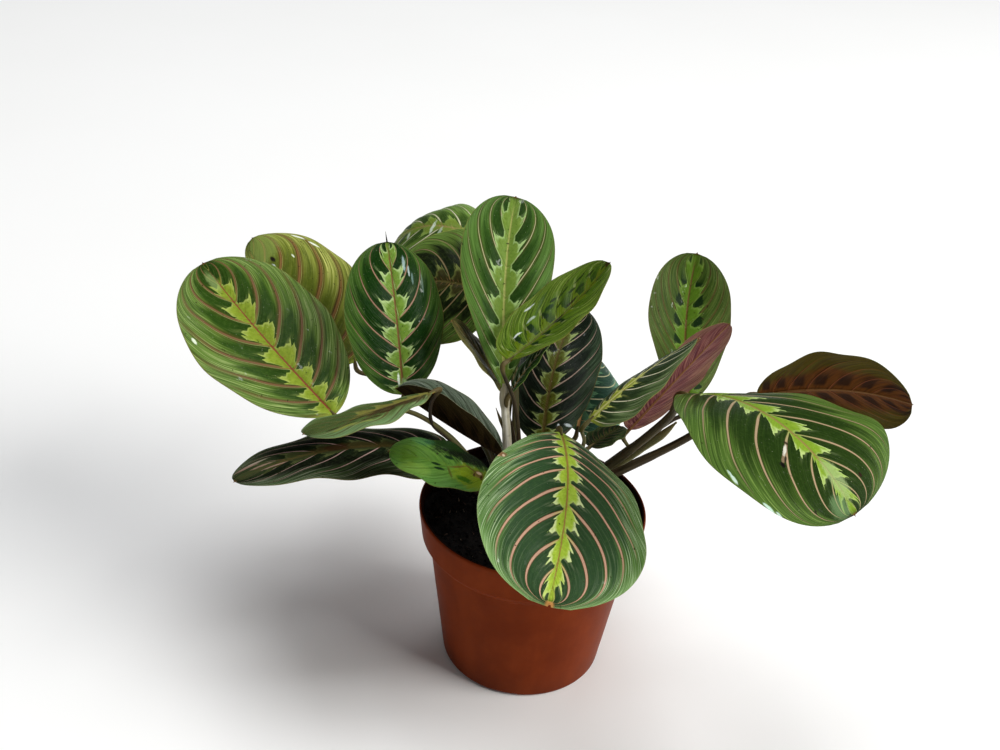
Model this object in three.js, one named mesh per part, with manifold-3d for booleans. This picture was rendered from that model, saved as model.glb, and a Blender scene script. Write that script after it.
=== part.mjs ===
// Potted prayer plant (maranta): a thin plastic nursery pot filled with potting soil,
// with stems standing in the soil and one broad blade at the end of each leaf stalk.
// Millimetres, Z up, X to the right and Y away from the viewer. The origin is the centre
// of the pot's base, on the surface that the pot stands on.

import * as THREE from 'three';
import { mergeVertices } from 'three/addons/utils/BufferGeometryUtils.js';
import Module from 'manifold-3d';

const wasm = await Module();
wasm.setup();

// Pot
const POT_HEIGHT = 96;
const RIM_RADIUS = 60;
const COLLAR_FOOT_Z = 79;
const COLLAR_FOOT_RADIUS = 58;
const BODY_TOP_Z = 73.5;
const BODY_TOP_RADIUS = 53.5;
const BASE_RADIUS = 43.5;
const WALL = 1.4;
const LIP = 2.2;
const CHANNEL_INNER = 25;
const CHANNEL_OUTER = 38;
const CHANNEL_RISE = 3;
const DRAIN_HOLES = 6;
const DRAIN_RADIUS = 3.5;
const FOOT_NOTCHES = 4;
const NOTCH_WIDTH = 13;
const NOTCH_HEIGHT = 1.6;
const NOTCH_TURN = -98;

// Soil
const SOIL_TOP = 89.5;
const SOIL_BUMP = 1.3;
const FIT_GAP = 0.3;
const HOLE_GAP = 0.5;
const SECTORS = 36;

// Stems
const HOLE_FLOOR = 76;
const CROWN_TOP = 99;
const STEM_SIDES = 7;
const STALK_GAP = 0.4;

// Blades
const BLADE_THICKNESS = 0.7;
const MIDRIB_EXTRA = 0.7;
const ALONG = 10;
const ACROSS = [-1, -0.78, -0.5, -0.24, 0, 0.24, 0.5, 0.78, 1];
const BASE_WIDTH = 1.6;
const TIP_WIDTH = 0.5;
const DROOP_POWER = 1.3;
const RIPPLE_RATE = 17;
const RIPPLE_OFFSET = 2;

const deg = Math.PI / 180;
const vec = (x, y, z) => new THREE.Vector3(x, y, z);

// Where each group of stalks stands in the soil
const SHOOTS = {
  stems_left: { at: [-14, -3], radius: 5.5, color: 0x54382a },
  stems_centre: { at: [-15, 15], radius: 4.5, color: 0x8c7a66 },
  stems_back: { at: [2, 30], radius: 4.5, color: 0x5b4a34 },
  stems_front: { at: [6, 0], radius: 5, color: 0x66603a },
  stems_right: { at: [18, 14], radius: 5.5, color: 0x3d2c25 },
};

// One entry for each leaf. at: where the blade begins. heading and pitch: which way it
// sets out, in degrees from +X and from level. bend: how far it droops by the tip. sway:
// sideways turn by the tip. roll: twist about the midrib. fold and curl: slope of the half
// blades at the midrib and its change by the margin. widest: how far along the blade is
// broadest. wedge: how much the base narrows. wave: height of the ripples in the margin.
// stalk: points that the leaf stalk runs through. thick: radius of the stalk at its foot.
const LEAVES = {
  leaf_far_left: {
    shoot: 'stems_left', at: [-105, -4, 143], heading: 141, pitch: 19, length: 112,
    width: 78, bend: -17, sway: 7, roll: 9, fold: 10, curl: -14, widest: 0.56, wave: 1.2,
    stalk: [[-28, -6, 116], [-47, -3, 137], [-68, 1, 146], [-86, 4, 141]], thick: 1.7,
    color: 0x4a6023,
  },
  leaf_left_behind: {
    shoot: 'stems_left', at: [-107, 68, 132], heading: 152, pitch: 70, length: 96,
    width: 67, bend: 69, sway: 7, roll: 2, fold: 4, curl: -20, widest: 0.47, wave: 1,
    stalk: [[-30, 26, 114], [-60, 44, 134], [-89, 62, 127]], thick: 1.6,
    color: 0x5d6a25,
  },
  leaf_left_upright: {
    shoot: 'stems_left', at: [-72, 12, 149], heading: 113, pitch: 68, length: 81,
    width: 54, bend: 30, sway: -4, roll: -5, fold: 6, curl: -26, widest: 0.51, wave: 1,
    stalk: [[-30, 17, 126], [-58, 18, 141]], thick: 1.5,
    color: 0x26441f,
  },
  leaf_low_left: {
    shoot: 'stems_left', at: [-45.6, 8, 119], heading: 187, pitch: 9, length: 116,
    width: 68, bend: 17, sway: 37, roll: -11, fold: 6, curl: -21, widest: 0.28, wave: 1.5,
    stalk: [[-32, 0, 102]], thick: 1.7,
    color: 0x1c2416,
  },
  leaf_left_small: {
    shoot: 'stems_left', at: [-54.9, -4.7, 162.9], heading: 229, pitch: 5, length: 74,
    width: 47, bend: 12, sway: -16, roll: -22, fold: 6, curl: -19, widest: 0.68, wave: 1.2,
    stalk: [[-28, -6, 116], [-45, -5, 134], [-50, -3, 150]], thick: 1.1,
    color: 0x4f6a3c,
  },
  leaf_soil_young: {
    shoot: 'stems_left', at: [-21, -42, 138], heading: 182, pitch: 22, length: 52,
    width: 30, bend: 19, sway: -3, roll: 10, fold: 8, curl: -15, widest: 0.5, wave: 1,
    stalk: [[-14, -22, 116]], thick: 1.2,
    color: 0x47702a,
  },
  leaf_left_folded: {
    shoot: 'stems_left', at: [-18, 4, 122], heading: 174, pitch: 24, length: 66,
    width: 40, bend: -10, sway: 0, roll: 8, fold: 72, curl: 10, widest: 0.58, wave: 0.6,
    stalk: [[-12, 2, 112]], thick: 1.5,
    color: 0x2a1d12,
  },
  leaf_back_folded: {
    shoot: 'stems_centre', at: [-20, 27, 147], heading: 190, pitch: 58, length: 52,
    width: 27, bend: 8, sway: -2, roll: 2, fold: 10, curl: -13, widest: 0.48, wave: 0.6,
    stalk: [[-17, 21, 125]], thick: 1.1,
    color: 0x3f3418,
  },
  leaf_centre_upright: {
    shoot: 'stems_centre', at: [-20, 10, 159], heading: 104, pitch: 56, length: 105,
    width: 54, bend: 22, sway: -20, roll: -12, fold: 14, curl: -16, widest: 0.6, wedge: 0.5,
    wave: 1, stalk: [[-16, 11, 120]], thick: 2.5,
    color: 0x3c6a2a,
  },
  leaf_centre_young: {
    shoot: 'stems_centre', at: [-18, -8, 187], heading: 51, pitch: 14, length: 74,
    width: 51, bend: -36, sway: -14, roll: 17, fold: 14, curl: -1, widest: 0.47, wave: 0.8,
    stalk: [[-10, 7, 122], [-14, -6, 162]], thick: 1.3,
    color: 0x4f6e1c,
  },
  leaf_centre_small: {
    shoot: 'stems_centre', at: [-16.2, 6.7, 159.9], heading: 40, pitch: 55, length: 32,
    width: 16, bend: 18, sway: -6, roll: 26, fold: 10, curl: -13, widest: 0.49, wave: 0.5,
    stalk: [[-13, 15, 125]], thick: 1.1,
    color: 0x263a1b,
  },
  leaf_back_top: {
    shoot: 'stems_centre', at: [-31, 104, 191], heading: 170, pitch: 30, length: 80,
    width: 63, bend: 98, sway: -15, roll: 18, fold: 0, curl: -33, widest: 0.48, wave: 1,
    stalk: [[-13, 21, 135], [-17, 46, 160], [-22, 86, 182]], thick: 1.5,
    color: 0x66802c,
  },
  leaf_back_low: {
    shoot: 'stems_centre', at: [-27, 58, 187], heading: 172, pitch: 14, length: 62,
    width: 70, bend: 45, sway: -8, roll: 40, fold: 2, curl: -22, widest: 0.48, wave: 1,
    stalk: [[-14, 20, 138], [-18, 34, 163], [-19, 52, 180]], thick: 1.4,
    color: 0x2b3a19,
  },
  leaf_behind_shaded: {
    shoot: 'stems_back', at: [20, 35, 122], heading: 83, pitch: 17, length: 79,
    width: 56, bend: 34, sway: 0, roll: -32, fold: 4, curl: -19, widest: 0.48, wave: 1,
    stalk: [[12, 32, 110]], thick: 1.4,
    color: 0x22413a,
  },
  leaf_centre_shaded: {
    shoot: 'stems_front', at: [2, 11, 128], heading: 91, pitch: 40, length: 95,
    width: 49, bend: 36, sway: -21, roll: 4, fold: 0, curl: -36, widest: 0.51, wave: 1,
    stalk: [[3, 6, 112]], thick: 1.7,
    color: 0x1d2f24,
  },
  leaf_front: {
    shoot: 'stems_front', at: [10.5, -8.4, 148.1], heading: -79, pitch: 9, length: 108,
    width: 84, bend: 54, sway: -22, roll: 19, fold: 7, curl: -17, widest: 0.63, wave: 1.2,
    stalk: [[10, -1, 115], [11, -2, 138]], thick: 1.9,
    color: 0x33523a,
  },
  leaf_right_narrow: {
    shoot: 'stems_right', at: [24, -13, 160], heading: 33, pitch: 42, length: 68,
    width: 42, bend: -2, sway: -42, roll: 16, fold: -5, curl: -25, widest: 0.45, wave: 0.8,
    stalk: [[20, 9, 112], [23, 0, 138]], thick: 1.2,
    color: 0x34502a,
  },
  leaf_right_red: {
    shoot: 'stems_right', at: [47, 24, 133], heading: 16, pitch: 54, length: 77,
    width: 44, bend: 2, sway: 0, roll: 64, fold: 9, curl: -13, widest: 0.48, wave: 0.8,
    stalk: [[35, 20, 103], [49, 27, 116]], thick: 1.3,
    color: 0x7a3b40,
  },
  leaf_right_small: {
    shoot: 'stems_right', at: [26.9, 11.8, 127.8], heading: 39, pitch: 24, length: 22,
    width: 26, bend: 18, sway: 0, roll: 20, fold: 8, curl: -14, widest: 0.43, wave: 0.6,
    stalk: [[23, 17, 110]], thick: 1.2,
    color: 0x2c3320,
  },
  leaf_right_upright: {
    shoot: 'stems_right', at: [79.5, 49.8, 137.7], heading: 113, pitch: 51, length: 82,
    width: 50, bend: -10, sway: -40, roll: -18, fold: 14, curl: -5, widest: 0.55, wave: 0.8,
    stalk: [[38, 20, 111], [71, 44, 129]], thick: 1.8,
    color: 0x456b2a,
  },
  leaf_far_right: {
    shoot: 'stems_right', at: [68.2, -15.2, 180.4], heading: -58, pitch: 35, length: 120,
    width: 118, bend: 80, sway: 13, roll: 10, fold: 4, curl: -10, widest: 0.67, wedge: 0.3, wave: 1.5,
    stalk: [[37, 15, 114], [54, 10, 137], [65, 0, 160]], thick: 2,
    color: 0x32601f,
  },
  leaf_far_right_behind: {
    shoot: 'stems_right', at: [111.2, 30, 157.6], heading: -11, pitch: 25, length: 80,
    width: 68, bend: 21, sway: -26, roll: 63, fold: 6, curl: -15, widest: 0.51, wedge: 0.4,
    wave: 1.2, stalk: [[45, 23, 107], [79, 31, 127]], thick: 1.8,
    color: 0x4d2416,
  },
};

// Geometry helpers

// Closed solid from a vertex list and a triangle list
function meshGeometry(points, faces) {
  const geometry = new THREE.BufferGeometry();
  geometry.setAttribute('position', new THREE.Float32BufferAttribute(points, 3));
  geometry.setIndex(faces);
  return geometry;
}

function toManifold(geometry) {
  const plain = geometry.clone();
  plain.deleteAttribute('normal');
  plain.deleteAttribute('uv');
  const merged = mergeVertices(plain, 1e-4);
  return new wasm.Manifold(new wasm.Mesh({
    numProp: 3,
    vertProperties: new Float32Array(merged.attributes.position.array),
    triVerts: new Uint32Array(merged.index.array),
  }));
}

function fromManifold(solid) {
  const mesh = solid.getMesh();
  return meshGeometry(Array.from(mesh.vertProperties), Array.from(mesh.triVerts));
}

// Turned solid about Z; the profile runs anticlockwise from the axis and back to it
function turned(profile, sectors) {
  const points = profile.map(([r, z]) => new THREE.Vector2(r, z));
  const geometry = new THREE.LatheGeometry(points, sectors);
  geometry.rotateX(Math.PI / 2);
  return geometry;
}

function cylinder(radius, bottom, top, x, y, sides) {
  const geometry = new THREE.CylinderGeometry(radius, radius, top - bottom, sides);
  geometry.rotateX(Math.PI / 2);
  geometry.translate(x, y, (bottom + top) / 2);
  return geometry;
}

// Round stem along a smooth curve, thinning from one end to the other
function stem(points, startRadius, endRadius) {
  const curve = new THREE.CatmullRomCurve3(points, false, 'centripetal');
  const steps = Math.max(5, Math.round(curve.getLength() / 12));
  const frames = curve.computeFrenetFrames(steps, false);
  const ring = [];
  for (let i = 0; i <= steps; i += 1) {
    const centre = curve.getPointAt(i / steps);
    const radius = startRadius + (endRadius - startRadius) * (i / steps);
    for (let j = 0; j < STEM_SIDES; j += 1) {
      const angle = (2 * Math.PI * j) / STEM_SIDES;
      const p = centre.clone();
      p.addScaledVector(frames.normals[i], radius * Math.cos(angle));
      p.addScaledVector(frames.binormals[i], radius * Math.sin(angle));
      ring.push(p.x, p.y, p.z);
    }
  }
  const faces = [];
  for (let i = 0; i < steps; i += 1) {
    for (let j = 0; j < STEM_SIDES; j += 1) {
      const a = i * STEM_SIDES + j;
      const b = i * STEM_SIDES + ((j + 1) % STEM_SIDES);
      faces.push(a, b, b + STEM_SIDES, a, b + STEM_SIDES, a + STEM_SIDES);
    }
  }
  const last = steps * STEM_SIDES;
  for (let j = 1; j < STEM_SIDES - 1; j += 1) {
    faces.push(0, j + 1, j);
    faces.push(last, last + j, last + j + 1);
  }
  return meshGeometry(ring, faces);
}

// Leaf blade
function startDirection(leaf) {
  const h = leaf.heading * deg;
  const p = leaf.pitch * deg;
  return vec(Math.cos(p) * Math.cos(h), Math.cos(p) * Math.sin(h), Math.sin(p));
}

// Half width along the blade, s from 0 at the stalk to 1 at the tip
function halfWidth(leaf, s) {
  const q = Math.log(0.5) / Math.log(leaf.widest);
  const t = s ** q;
  const oval = Math.sqrt(Math.max(0, 4 * t * (1 - t)));
  const ends = BASE_WIDTH * (1 - s) + TIP_WIDTH * s;
  const wedge = 1 - (leaf.wedge || 0) * (1 - s) ** 2;
  return Math.max(ends, (leaf.width / 2) * oval * wedge);
}

// Middle surface of the blade: one row of points for each station along the midrib
function bladeRows(leaf) {
  const rows = [];
  const fine = 12;
  const centre = vec(...leaf.at);
  const step = leaf.length / (ALONG * fine);
  for (let i = 0; i <= ALONG; i += 1) {
    const even = i / ALONG;
    const s = 0.5 - 0.5 * Math.cos(Math.PI * even) * (1 - 0.25 * Math.sin(Math.PI * even));
    rows.push({ s });
  }
  let walked = 0;
  for (const row of rows) {
    while (walked < row.s * leaf.length - step / 2) {
      centre.addScaledVector(bladeDirection(leaf, (walked + step / 2) / leaf.length), step);
      walked += step;
    }
    row.points = crossRow(leaf, row.s, centre);
  }
  return rows.map((row) => row.points);
}

function bladeDirection(leaf, s) {
  const h = (leaf.heading + leaf.sway * s) * deg;
  const p = (leaf.pitch - leaf.bend * s ** DROOP_POWER) * deg;
  return vec(Math.cos(p) * Math.cos(h), Math.cos(p) * Math.sin(h), Math.sin(p));
}

// Points across the blade at one station, from the left margin to the right margin
function crossRow(leaf, s, centre) {
  const h = (leaf.heading + leaf.sway * s) * deg;
  const along = bladeDirection(leaf, s);
  const level = vec(Math.sin(h), -Math.cos(h), 0);
  const raised = level.clone().cross(along);
  const r = leaf.roll * deg;
  const side = level.clone().multiplyScalar(Math.cos(r)).addScaledVector(raised, Math.sin(r));
  const up = raised.clone().multiplyScalar(Math.cos(r)).addScaledVector(level, -Math.sin(r));
  const half = halfWidth(leaf, s);
  const fold = leaf.fold * deg;
  const curl = leaf.curl * deg;
  return ACROSS.map((t) => {
    const steps = 8;
    const reach = Math.abs(t);
    let out = 0;
    let rise = 0;
    for (let k = 0; k < steps; k += 1) {
      const slope = fold + curl * reach * ((k + 0.5) / steps);
      out += (Math.cos(slope) * reach) / steps;
      rise += (Math.sin(slope) * reach) / steps;
    }
    const swell = Math.sin(Math.PI * s);
    const phase = RIPPLE_RATE * s + (t > 0 ? 0 : RIPPLE_OFFSET);
    const ripple = leaf.wave * t * t * swell * Math.sin(phase);
    const p = centre.clone();
    p.addScaledVector(side, Math.sign(t) * half * out);
    p.addScaledVector(up, half * rise + ripple);
    return p;
  });
}

// The blade is thickened alike to both faces, with a rib under the midrib
function bladeGeometry(leaf) {
  const rows = bladeRows(leaf);
  const columns = ACROSS.length;
  const middle = (columns - 1) / 2;
  const top = [];
  const under = [];
  rows.forEach((row, i) => {
    row.forEach((point, j) => {
      const before = rows[Math.max(0, i - 1)][j];
      const after = rows[Math.min(rows.length - 1, i + 1)][j];
      const left = row[Math.max(0, j - 1)];
      const right = row[Math.min(columns - 1, j + 1)];
      const normal = right.clone().sub(left).cross(after.clone().sub(before)).normalize();
      const rib = j === middle ? MIDRIB_EXTRA * (1 - i / rows.length) : 0;
      top.push(point.clone().addScaledVector(normal, BLADE_THICKNESS / 2));
      under.push(point.clone().addScaledVector(normal, -BLADE_THICKNESS / 2 - rib));
    });
  });
  const points = [...top, ...under].flatMap((p) => [p.x, p.y, p.z]);
  const faces = [];
  const below = top.length;
  for (let i = 0; i < rows.length - 1; i += 1) {
    for (let j = 0; j < columns - 1; j += 1) {
      const a = i * columns + j;
      const b = a + 1;
      const c = a + columns;
      const d = c + 1;
      faces.push(a, b, d, a, d, c);
      faces.push(below + a, below + d, below + b, below + a, below + c, below + d);
    }
  }
  const rim = [];
  for (let j = 0; j < columns - 1; j += 1) {
    rim.push(j);
  }
  for (let i = 0; i < rows.length - 1; i += 1) {
    rim.push(i * columns + columns - 1);
  }
  for (let j = columns - 1; j > 0; j -= 1) {
    rim.push((rows.length - 1) * columns + j);
  }
  for (let i = rows.length - 1; i > 0; i -= 1) {
    rim.push(i * columns);
  }
  rim.forEach((a, k) => {
    const b = rim[(k + 1) % rim.length];
    faces.push(a, below + a, below + b, a, below + b, b);
  });
  return meshGeometry(points, faces);
}

// Pot: thin moulded wall with a collar, a raised drainage channel and notches in the foot
function potGeometry() {
  const floor = WALL + 0.2;
  const profile = [
    [0, 0],
    [CHANNEL_INNER - 1, 0],
    [CHANNEL_INNER, CHANNEL_RISE],
    [CHANNEL_OUTER - 1, CHANNEL_RISE],
    [CHANNEL_OUTER, 0],
    [BASE_RADIUS - 1.2, 0],
    [BASE_RADIUS, 1.2],
    [BODY_TOP_RADIUS, BODY_TOP_Z],
    [COLLAR_FOOT_RADIUS, COLLAR_FOOT_Z],
    [RIM_RADIUS, POT_HEIGHT - 1],
    [RIM_RADIUS - 0.6, POT_HEIGHT],
    [RIM_RADIUS - LIP, POT_HEIGHT],
    [RIM_RADIUS - LIP - 0.2, POT_HEIGHT - 3],
    [COLLAR_FOOT_RADIUS - WALL, COLLAR_FOOT_Z + 0.8],
    [BODY_TOP_RADIUS - WALL, BODY_TOP_Z + 0.8],
    [BASE_RADIUS - WALL + 0.6, CHANNEL_RISE + floor],
    [0, CHANNEL_RISE + floor],
  ];
  let solid = toManifold(turned(profile, SECTORS));
  for (let i = 0; i < DRAIN_HOLES; i += 1) {
    const angle = (2 * Math.PI * (i + 0.5)) / DRAIN_HOLES;
    const radius = (CHANNEL_INNER + CHANNEL_OUTER) / 2;
    const x = radius * Math.cos(angle);
    const y = radius * Math.sin(angle);
    solid = solid.subtract(toManifold(cylinder(DRAIN_RADIUS, -1, 9, x, y, 12)));
  }
  for (let i = 0; i < FOOT_NOTCHES; i += 1) {
    const notch = new THREE.BoxGeometry(12, NOTCH_WIDTH, 2 * NOTCH_HEIGHT);
    notch.translate(BASE_RADIUS, 0, 0);
    notch.rotateZ((NOTCH_TURN + (360 / FOOT_NOTCHES) * i) * deg);
    solid = solid.subtract(toManifold(notch));
  }
  return fromManifold(solid);
}

// Soil: fills the pot, with a lumpy top and a plain hole for each group of stems
function soilHeight(x, y) {
  const lumps = Math.sin(0.21 * x + 1) * Math.cos(0.26 * y) + 0.6 * Math.sin(0.5 * x - 0.37 * y);
  return SOIL_TOP + SOIL_BUMP * lumps;
}

function soilGeometry() {
  const floor = CHANNEL_RISE + WALL + 0.2 + FIT_GAP;
  const inset = WALL + FIT_GAP;
  const share = (SOIL_TOP - COLLAR_FOOT_Z) / (POT_HEIGHT - COLLAR_FOOT_Z);
  const collarRadius = COLLAR_FOOT_RADIUS + (RIM_RADIUS - COLLAR_FOOT_RADIUS) * share - 1.3;
  const outline = [
    [BASE_RADIUS - inset - 0.6, floor],
    [BODY_TOP_RADIUS - inset - 0.3, BODY_TOP_Z + 1],
    [COLLAR_FOOT_RADIUS - inset - 0.3, COLLAR_FOOT_Z + 1],
    [collarRadius - inset, SOIL_TOP - 1.2],
  ];
  const rings = [0.86, 0.66, 0.46, 0.25].map((k) => k * (collarRadius - inset));
  const points = [0, 0, floor];
  const ringAt = (radius, heightAt) => {
    for (let j = 0; j < SECTORS; j += 1) {
      const angle = (2 * Math.PI * j) / SECTORS;
      const x = radius * Math.cos(angle);
      const y = radius * Math.sin(angle);
      points.push(x, y, heightAt(x, y));
    }
  };
  outline.forEach(([radius, z]) => ringAt(radius, () => z));
  rings.forEach((radius) => ringAt(radius, soilHeight));
  points.push(0, 0, soilHeight(0, 0));
  const faces = [];
  const count = outline.length + rings.length;
  const start = (k) => 1 + k * SECTORS;
  for (let j = 0; j < SECTORS; j += 1) {
    const next = (j + 1) % SECTORS;
    faces.push(0, start(0) + next, start(0) + j);
    for (let k = 0; k < count - 1; k += 1) {
      const a = start(k) + j;
      const b = start(k) + next;
      faces.push(a, b, b + SECTORS, a, b + SECTORS, a + SECTORS);
    }
    faces.push(start(count - 1) + j, start(count - 1) + next, points.length / 3 - 1);
  }
  let solid = toManifold(meshGeometry(points, faces));
  for (const shoot of Object.values(SHOOTS)) {
    const [x, y] = shoot.at;
    const hole = cylinder(shoot.radius + HOLE_GAP, HOLE_FLOOR - FIT_GAP, 130, x, y, 16);
    solid = solid.subtract(toManifold(hole));
  }
  return fromManifold(solid);
}

// Stems: a short round crown in the soil and one stalk to each of its blades
function crownGeometry(shoot) {
  const r = shoot.radius;
  const crown = turned([
    [0, HOLE_FLOOR],
    [r, HOLE_FLOOR],
    [r, CROWN_TOP - 5],
    [r * 0.75, CROWN_TOP - 1],
    [0, CROWN_TOP],
  ], 12);
  crown.translate(shoot.at[0], shoot.at[1], 0);
  return crown;
}

function stalkGeometry(leaf, shoot) {
  const [x, y] = shoot.at;
  const base = vec(...leaf.at);
  const along = startDirection(leaf);
  const first = vec(...leaf.stalk[0]);
  const lean = shoot.radius - leaf.thick - 0.8;
  const turn = Math.atan2(first.y - y, first.x - x);
  const points = [
    vec(x + 0.5 * lean * Math.cos(turn), y + 0.5 * lean * Math.sin(turn), 84),
    vec(x + lean * Math.cos(turn), y + lean * Math.sin(turn), CROWN_TOP - 4),
    ...leaf.stalk.map((p) => vec(...p)),
    base.clone().addScaledVector(along, -5),
    base.clone().addScaledVector(along, -STALK_GAP),
  ];
  return stem(points, leaf.thick, Math.max(0.9, leaf.thick * 0.6));
}

function shootGeometry(name) {
  const shoot = SHOOTS[name];
  let solid = toManifold(crownGeometry(shoot));
  for (const leaf of Object.values(LEAVES)) {
    if (leaf.shoot === name) {
      solid = solid.add(toManifold(stalkGeometry(leaf, shoot)));
    }
  }
  return fromManifold(solid);
}

// Materials
function surface(color, roughness) {
  return new THREE.MeshStandardMaterial({ color, roughness, metalness: 0 });
}

const group = new THREE.Group();
group.name = 'potted_prayer_plant';

function add(name, geometry, color, roughness) {
  const mesh = new THREE.Mesh(geometry, surface(color, roughness));
  mesh.name = name;
  group.add(mesh);
}

add('pot', potGeometry(), 0x7a3a26, 0.5);
add('soil', soilGeometry(), 0x120e0b, 0.95);
for (const [name, shoot] of Object.entries(SHOOTS)) {
  add(name, shootGeometry(name), shoot.color, 0.6);
}
for (const [name, leaf] of Object.entries(LEAVES)) {
  add(name, bladeGeometry(leaf), leaf.color, 0.4);
}

export default group;
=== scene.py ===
import itertools
import math

import bpy
import numpy as np
from mathutils import Matrix, Vector, noise


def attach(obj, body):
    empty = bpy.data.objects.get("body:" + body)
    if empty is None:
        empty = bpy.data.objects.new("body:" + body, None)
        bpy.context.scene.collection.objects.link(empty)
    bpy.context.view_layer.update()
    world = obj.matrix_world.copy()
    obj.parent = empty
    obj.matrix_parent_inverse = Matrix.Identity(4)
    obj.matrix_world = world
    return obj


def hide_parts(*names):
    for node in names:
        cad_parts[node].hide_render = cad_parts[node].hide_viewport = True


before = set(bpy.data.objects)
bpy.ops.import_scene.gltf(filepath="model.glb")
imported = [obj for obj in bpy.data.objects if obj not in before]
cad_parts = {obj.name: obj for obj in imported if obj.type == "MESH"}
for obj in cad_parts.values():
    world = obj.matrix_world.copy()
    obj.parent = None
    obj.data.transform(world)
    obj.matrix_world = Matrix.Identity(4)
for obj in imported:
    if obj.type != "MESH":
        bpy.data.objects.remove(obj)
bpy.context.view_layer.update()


# The view
# The plant stands on a pale floor and is seen from in front and above, with the camera
# tipped a little to one side. Soft daylight comes from the right and from overhead.

camera_place = (0.0, -0.556, 0.505)
camera_down = math.radians(30.8)
camera_turn = math.radians(2.3)
camera_tip = math.radians(4.2)

turn = Matrix.Rotation(camera_turn, 3, "Z")
forward = turn @ Vector((0, math.cos(camera_down), -math.sin(camera_down)))
level_up = turn @ Vector((0, math.sin(camera_down), math.cos(camera_down)))
level_right = turn @ Vector((1, 0, 0))
right = level_right * math.cos(camera_tip) + level_up * math.sin(camera_tip)
up = level_up * math.cos(camera_tip) - level_right * math.sin(camera_tip)

camera_data = bpy.data.cameras.new("camera")
camera_data.lens = 46.8
camera_data.sensor_width = 36
camera = bpy.data.objects.new("camera", camera_data)
facing = Matrix((right, up, -forward)).transposed().to_4x4()
camera.matrix_world = Matrix.Translation(camera_place) @ facing
bpy.context.scene.collection.objects.link(camera)
bpy.context.scene.camera = camera
bpy.context.scene.view_settings.view_transform = "Standard"

daylight = bpy.data.worlds.new("daylight")
daylight.use_nodes = True
sky = daylight.node_tree.nodes["Background"]
sky.inputs["Color"].default_value = (0.96, 0.98, 1, 1)
sky.inputs["Strength"].default_value = 0.15
bpy.context.scene.world = daylight


def add_lamp(name, place, aim, size, power, tone):
    """A soft rectangular studio lamp."""
    data = bpy.data.lights.new(name, "AREA")
    data.shape = "RECTANGLE"
    data.size, data.size_y = size
    data.energy = power
    data.color = tone
    made = bpy.data.objects.new(name, data)
    look = Vector(aim) - Vector(place)
    facing = look.to_track_quat("-Z", "Y").to_matrix().to_4x4()
    made.matrix_world = Matrix.Translation(place) @ facing
    bpy.context.scene.collection.objects.link(made)


add_lamp("window_right", (3.0, -0.9, 2.3), (0, 0, 0.1), (2.2, 2.4), 150, (1, 0.99, 0.96))
add_lamp("overhead", (-0.3, 0.9, 3.8), (0, 0, 0.1), (2.4, 2.0), 84, (0.98, 0.99, 1))


# Floor
# A plain pale sheet that the pot stands on. It isn't part of the object.

class Value:
    """An output of a finish's nodes. Arithmetic on it adds Math nodes."""

    def __init__(self, nodes, socket=None):
        self.nodes = nodes
        self.socket = socket

    def node(self, kind, settings=None, inputs=None, output=0):
        """Any node: its settings are set first, then the values or links of its inputs."""
        made = self.nodes.new("ShaderNode" + kind)
        for key, setting in (settings or {}).items():
            setattr(made, key, setting)
        for key, given in (inputs or {}).items():
            if isinstance(given, Value):
                self.nodes.id_data.links.new(given.socket, made.inputs[key])
            else:
                made.inputs[key].default_value = given
        socket = made.outputs[output] if len(made.outputs) else None
        return Value(self.nodes, socket)

    def sum(self, operation, *given):
        """One Math node on the numbers given."""
        return self.node("Math", {"operation": operation}, dict(enumerate(given)))

    def __add__(self, other):
        return self.sum("ADD", self, other)

    __radd__ = __add__

    def __sub__(self, other):
        return self.sum("SUBTRACT", self, other)

    def __rsub__(self, other):
        return self.sum("SUBTRACT", other, self)

    def __mul__(self, other):
        return self.sum("MULTIPLY", self, other)

    __rmul__ = __mul__

    def __truediv__(self, other):
        return self.sum("DIVIDE", self, other)

    def fraction(self):
        return self.sum("FRACT", self)

    def whole(self):
        return self.sum("FLOOR", self)

    def size(self):
        return self.sum("ABSOLUTE", self)

    def least(self, other):
        return self.sum("MINIMUM", self, other)

    def most(self, other):
        return self.sum("MAXIMUM", self, other)

    def rise(self, low, high):
        """0 below low, 1 above high and smooth between them."""
        settings = {"interpolation_type": "SMOOTHSTEP"}
        return self.node("MapRange", settings, {0: self, 1: low, 2: high})

    def fall(self, low, high):
        """1 below low, 0 above high and smooth between them."""
        return 1 - self.rise(low, high)

    def cloud(self, scale, detail=2.0, roughness=0.5):
        """Noise between 0 and 1 at this place."""
        values = {"Vector": self, "Scale": scale, "Detail": detail, "Roughness": roughness}
        return self.node("TexNoise", None, values)

    def mix(self, share, under, over):
        """One colour laid over another."""
        return self.node("Mix", {"data_type": "RGBA"}, {0: share, 6: under, 7: over}, 2)

    def vector(self, x, y, z):
        return self.node("CombineXYZ", None, {0: x, 1: y, 2: z})

    def parts(self):
        """The three numbers of a vector."""
        split = self.node("SeparateXYZ", None, {0: self}).socket.node
        return [Value(self.nodes, output) for output in split.outputs]

    def place(self):
        """Where a point of the piece is, in metres."""
        return self.node("TexCoord", None, None, "Object")

    def stored(self, label, output="Vector"):
        """What the mesh stores at each point under this label."""
        return self.node("Attribute", {"attribute_name": label}, None, output)


def colour(red, green, blue):
    """A colour as the eye reads it, from 0 to 255, as the share of light it sends back."""
    shares = [part / 255 for part in (red, green, blue)]
    lit = [x / 12.92 if x <= 0.04045 else ((x + 0.055) / 1.055) ** 2.4 for x in shares]
    return (*lit, 1)


def new_finish(name):
    """A material and the start of its nodes."""
    material = bpy.data.materials.new(name)
    material.use_nodes = True
    material.node_tree.nodes.clear()
    return material, Value(material.node_tree.nodes)


wet_roughness = 0.12


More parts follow.
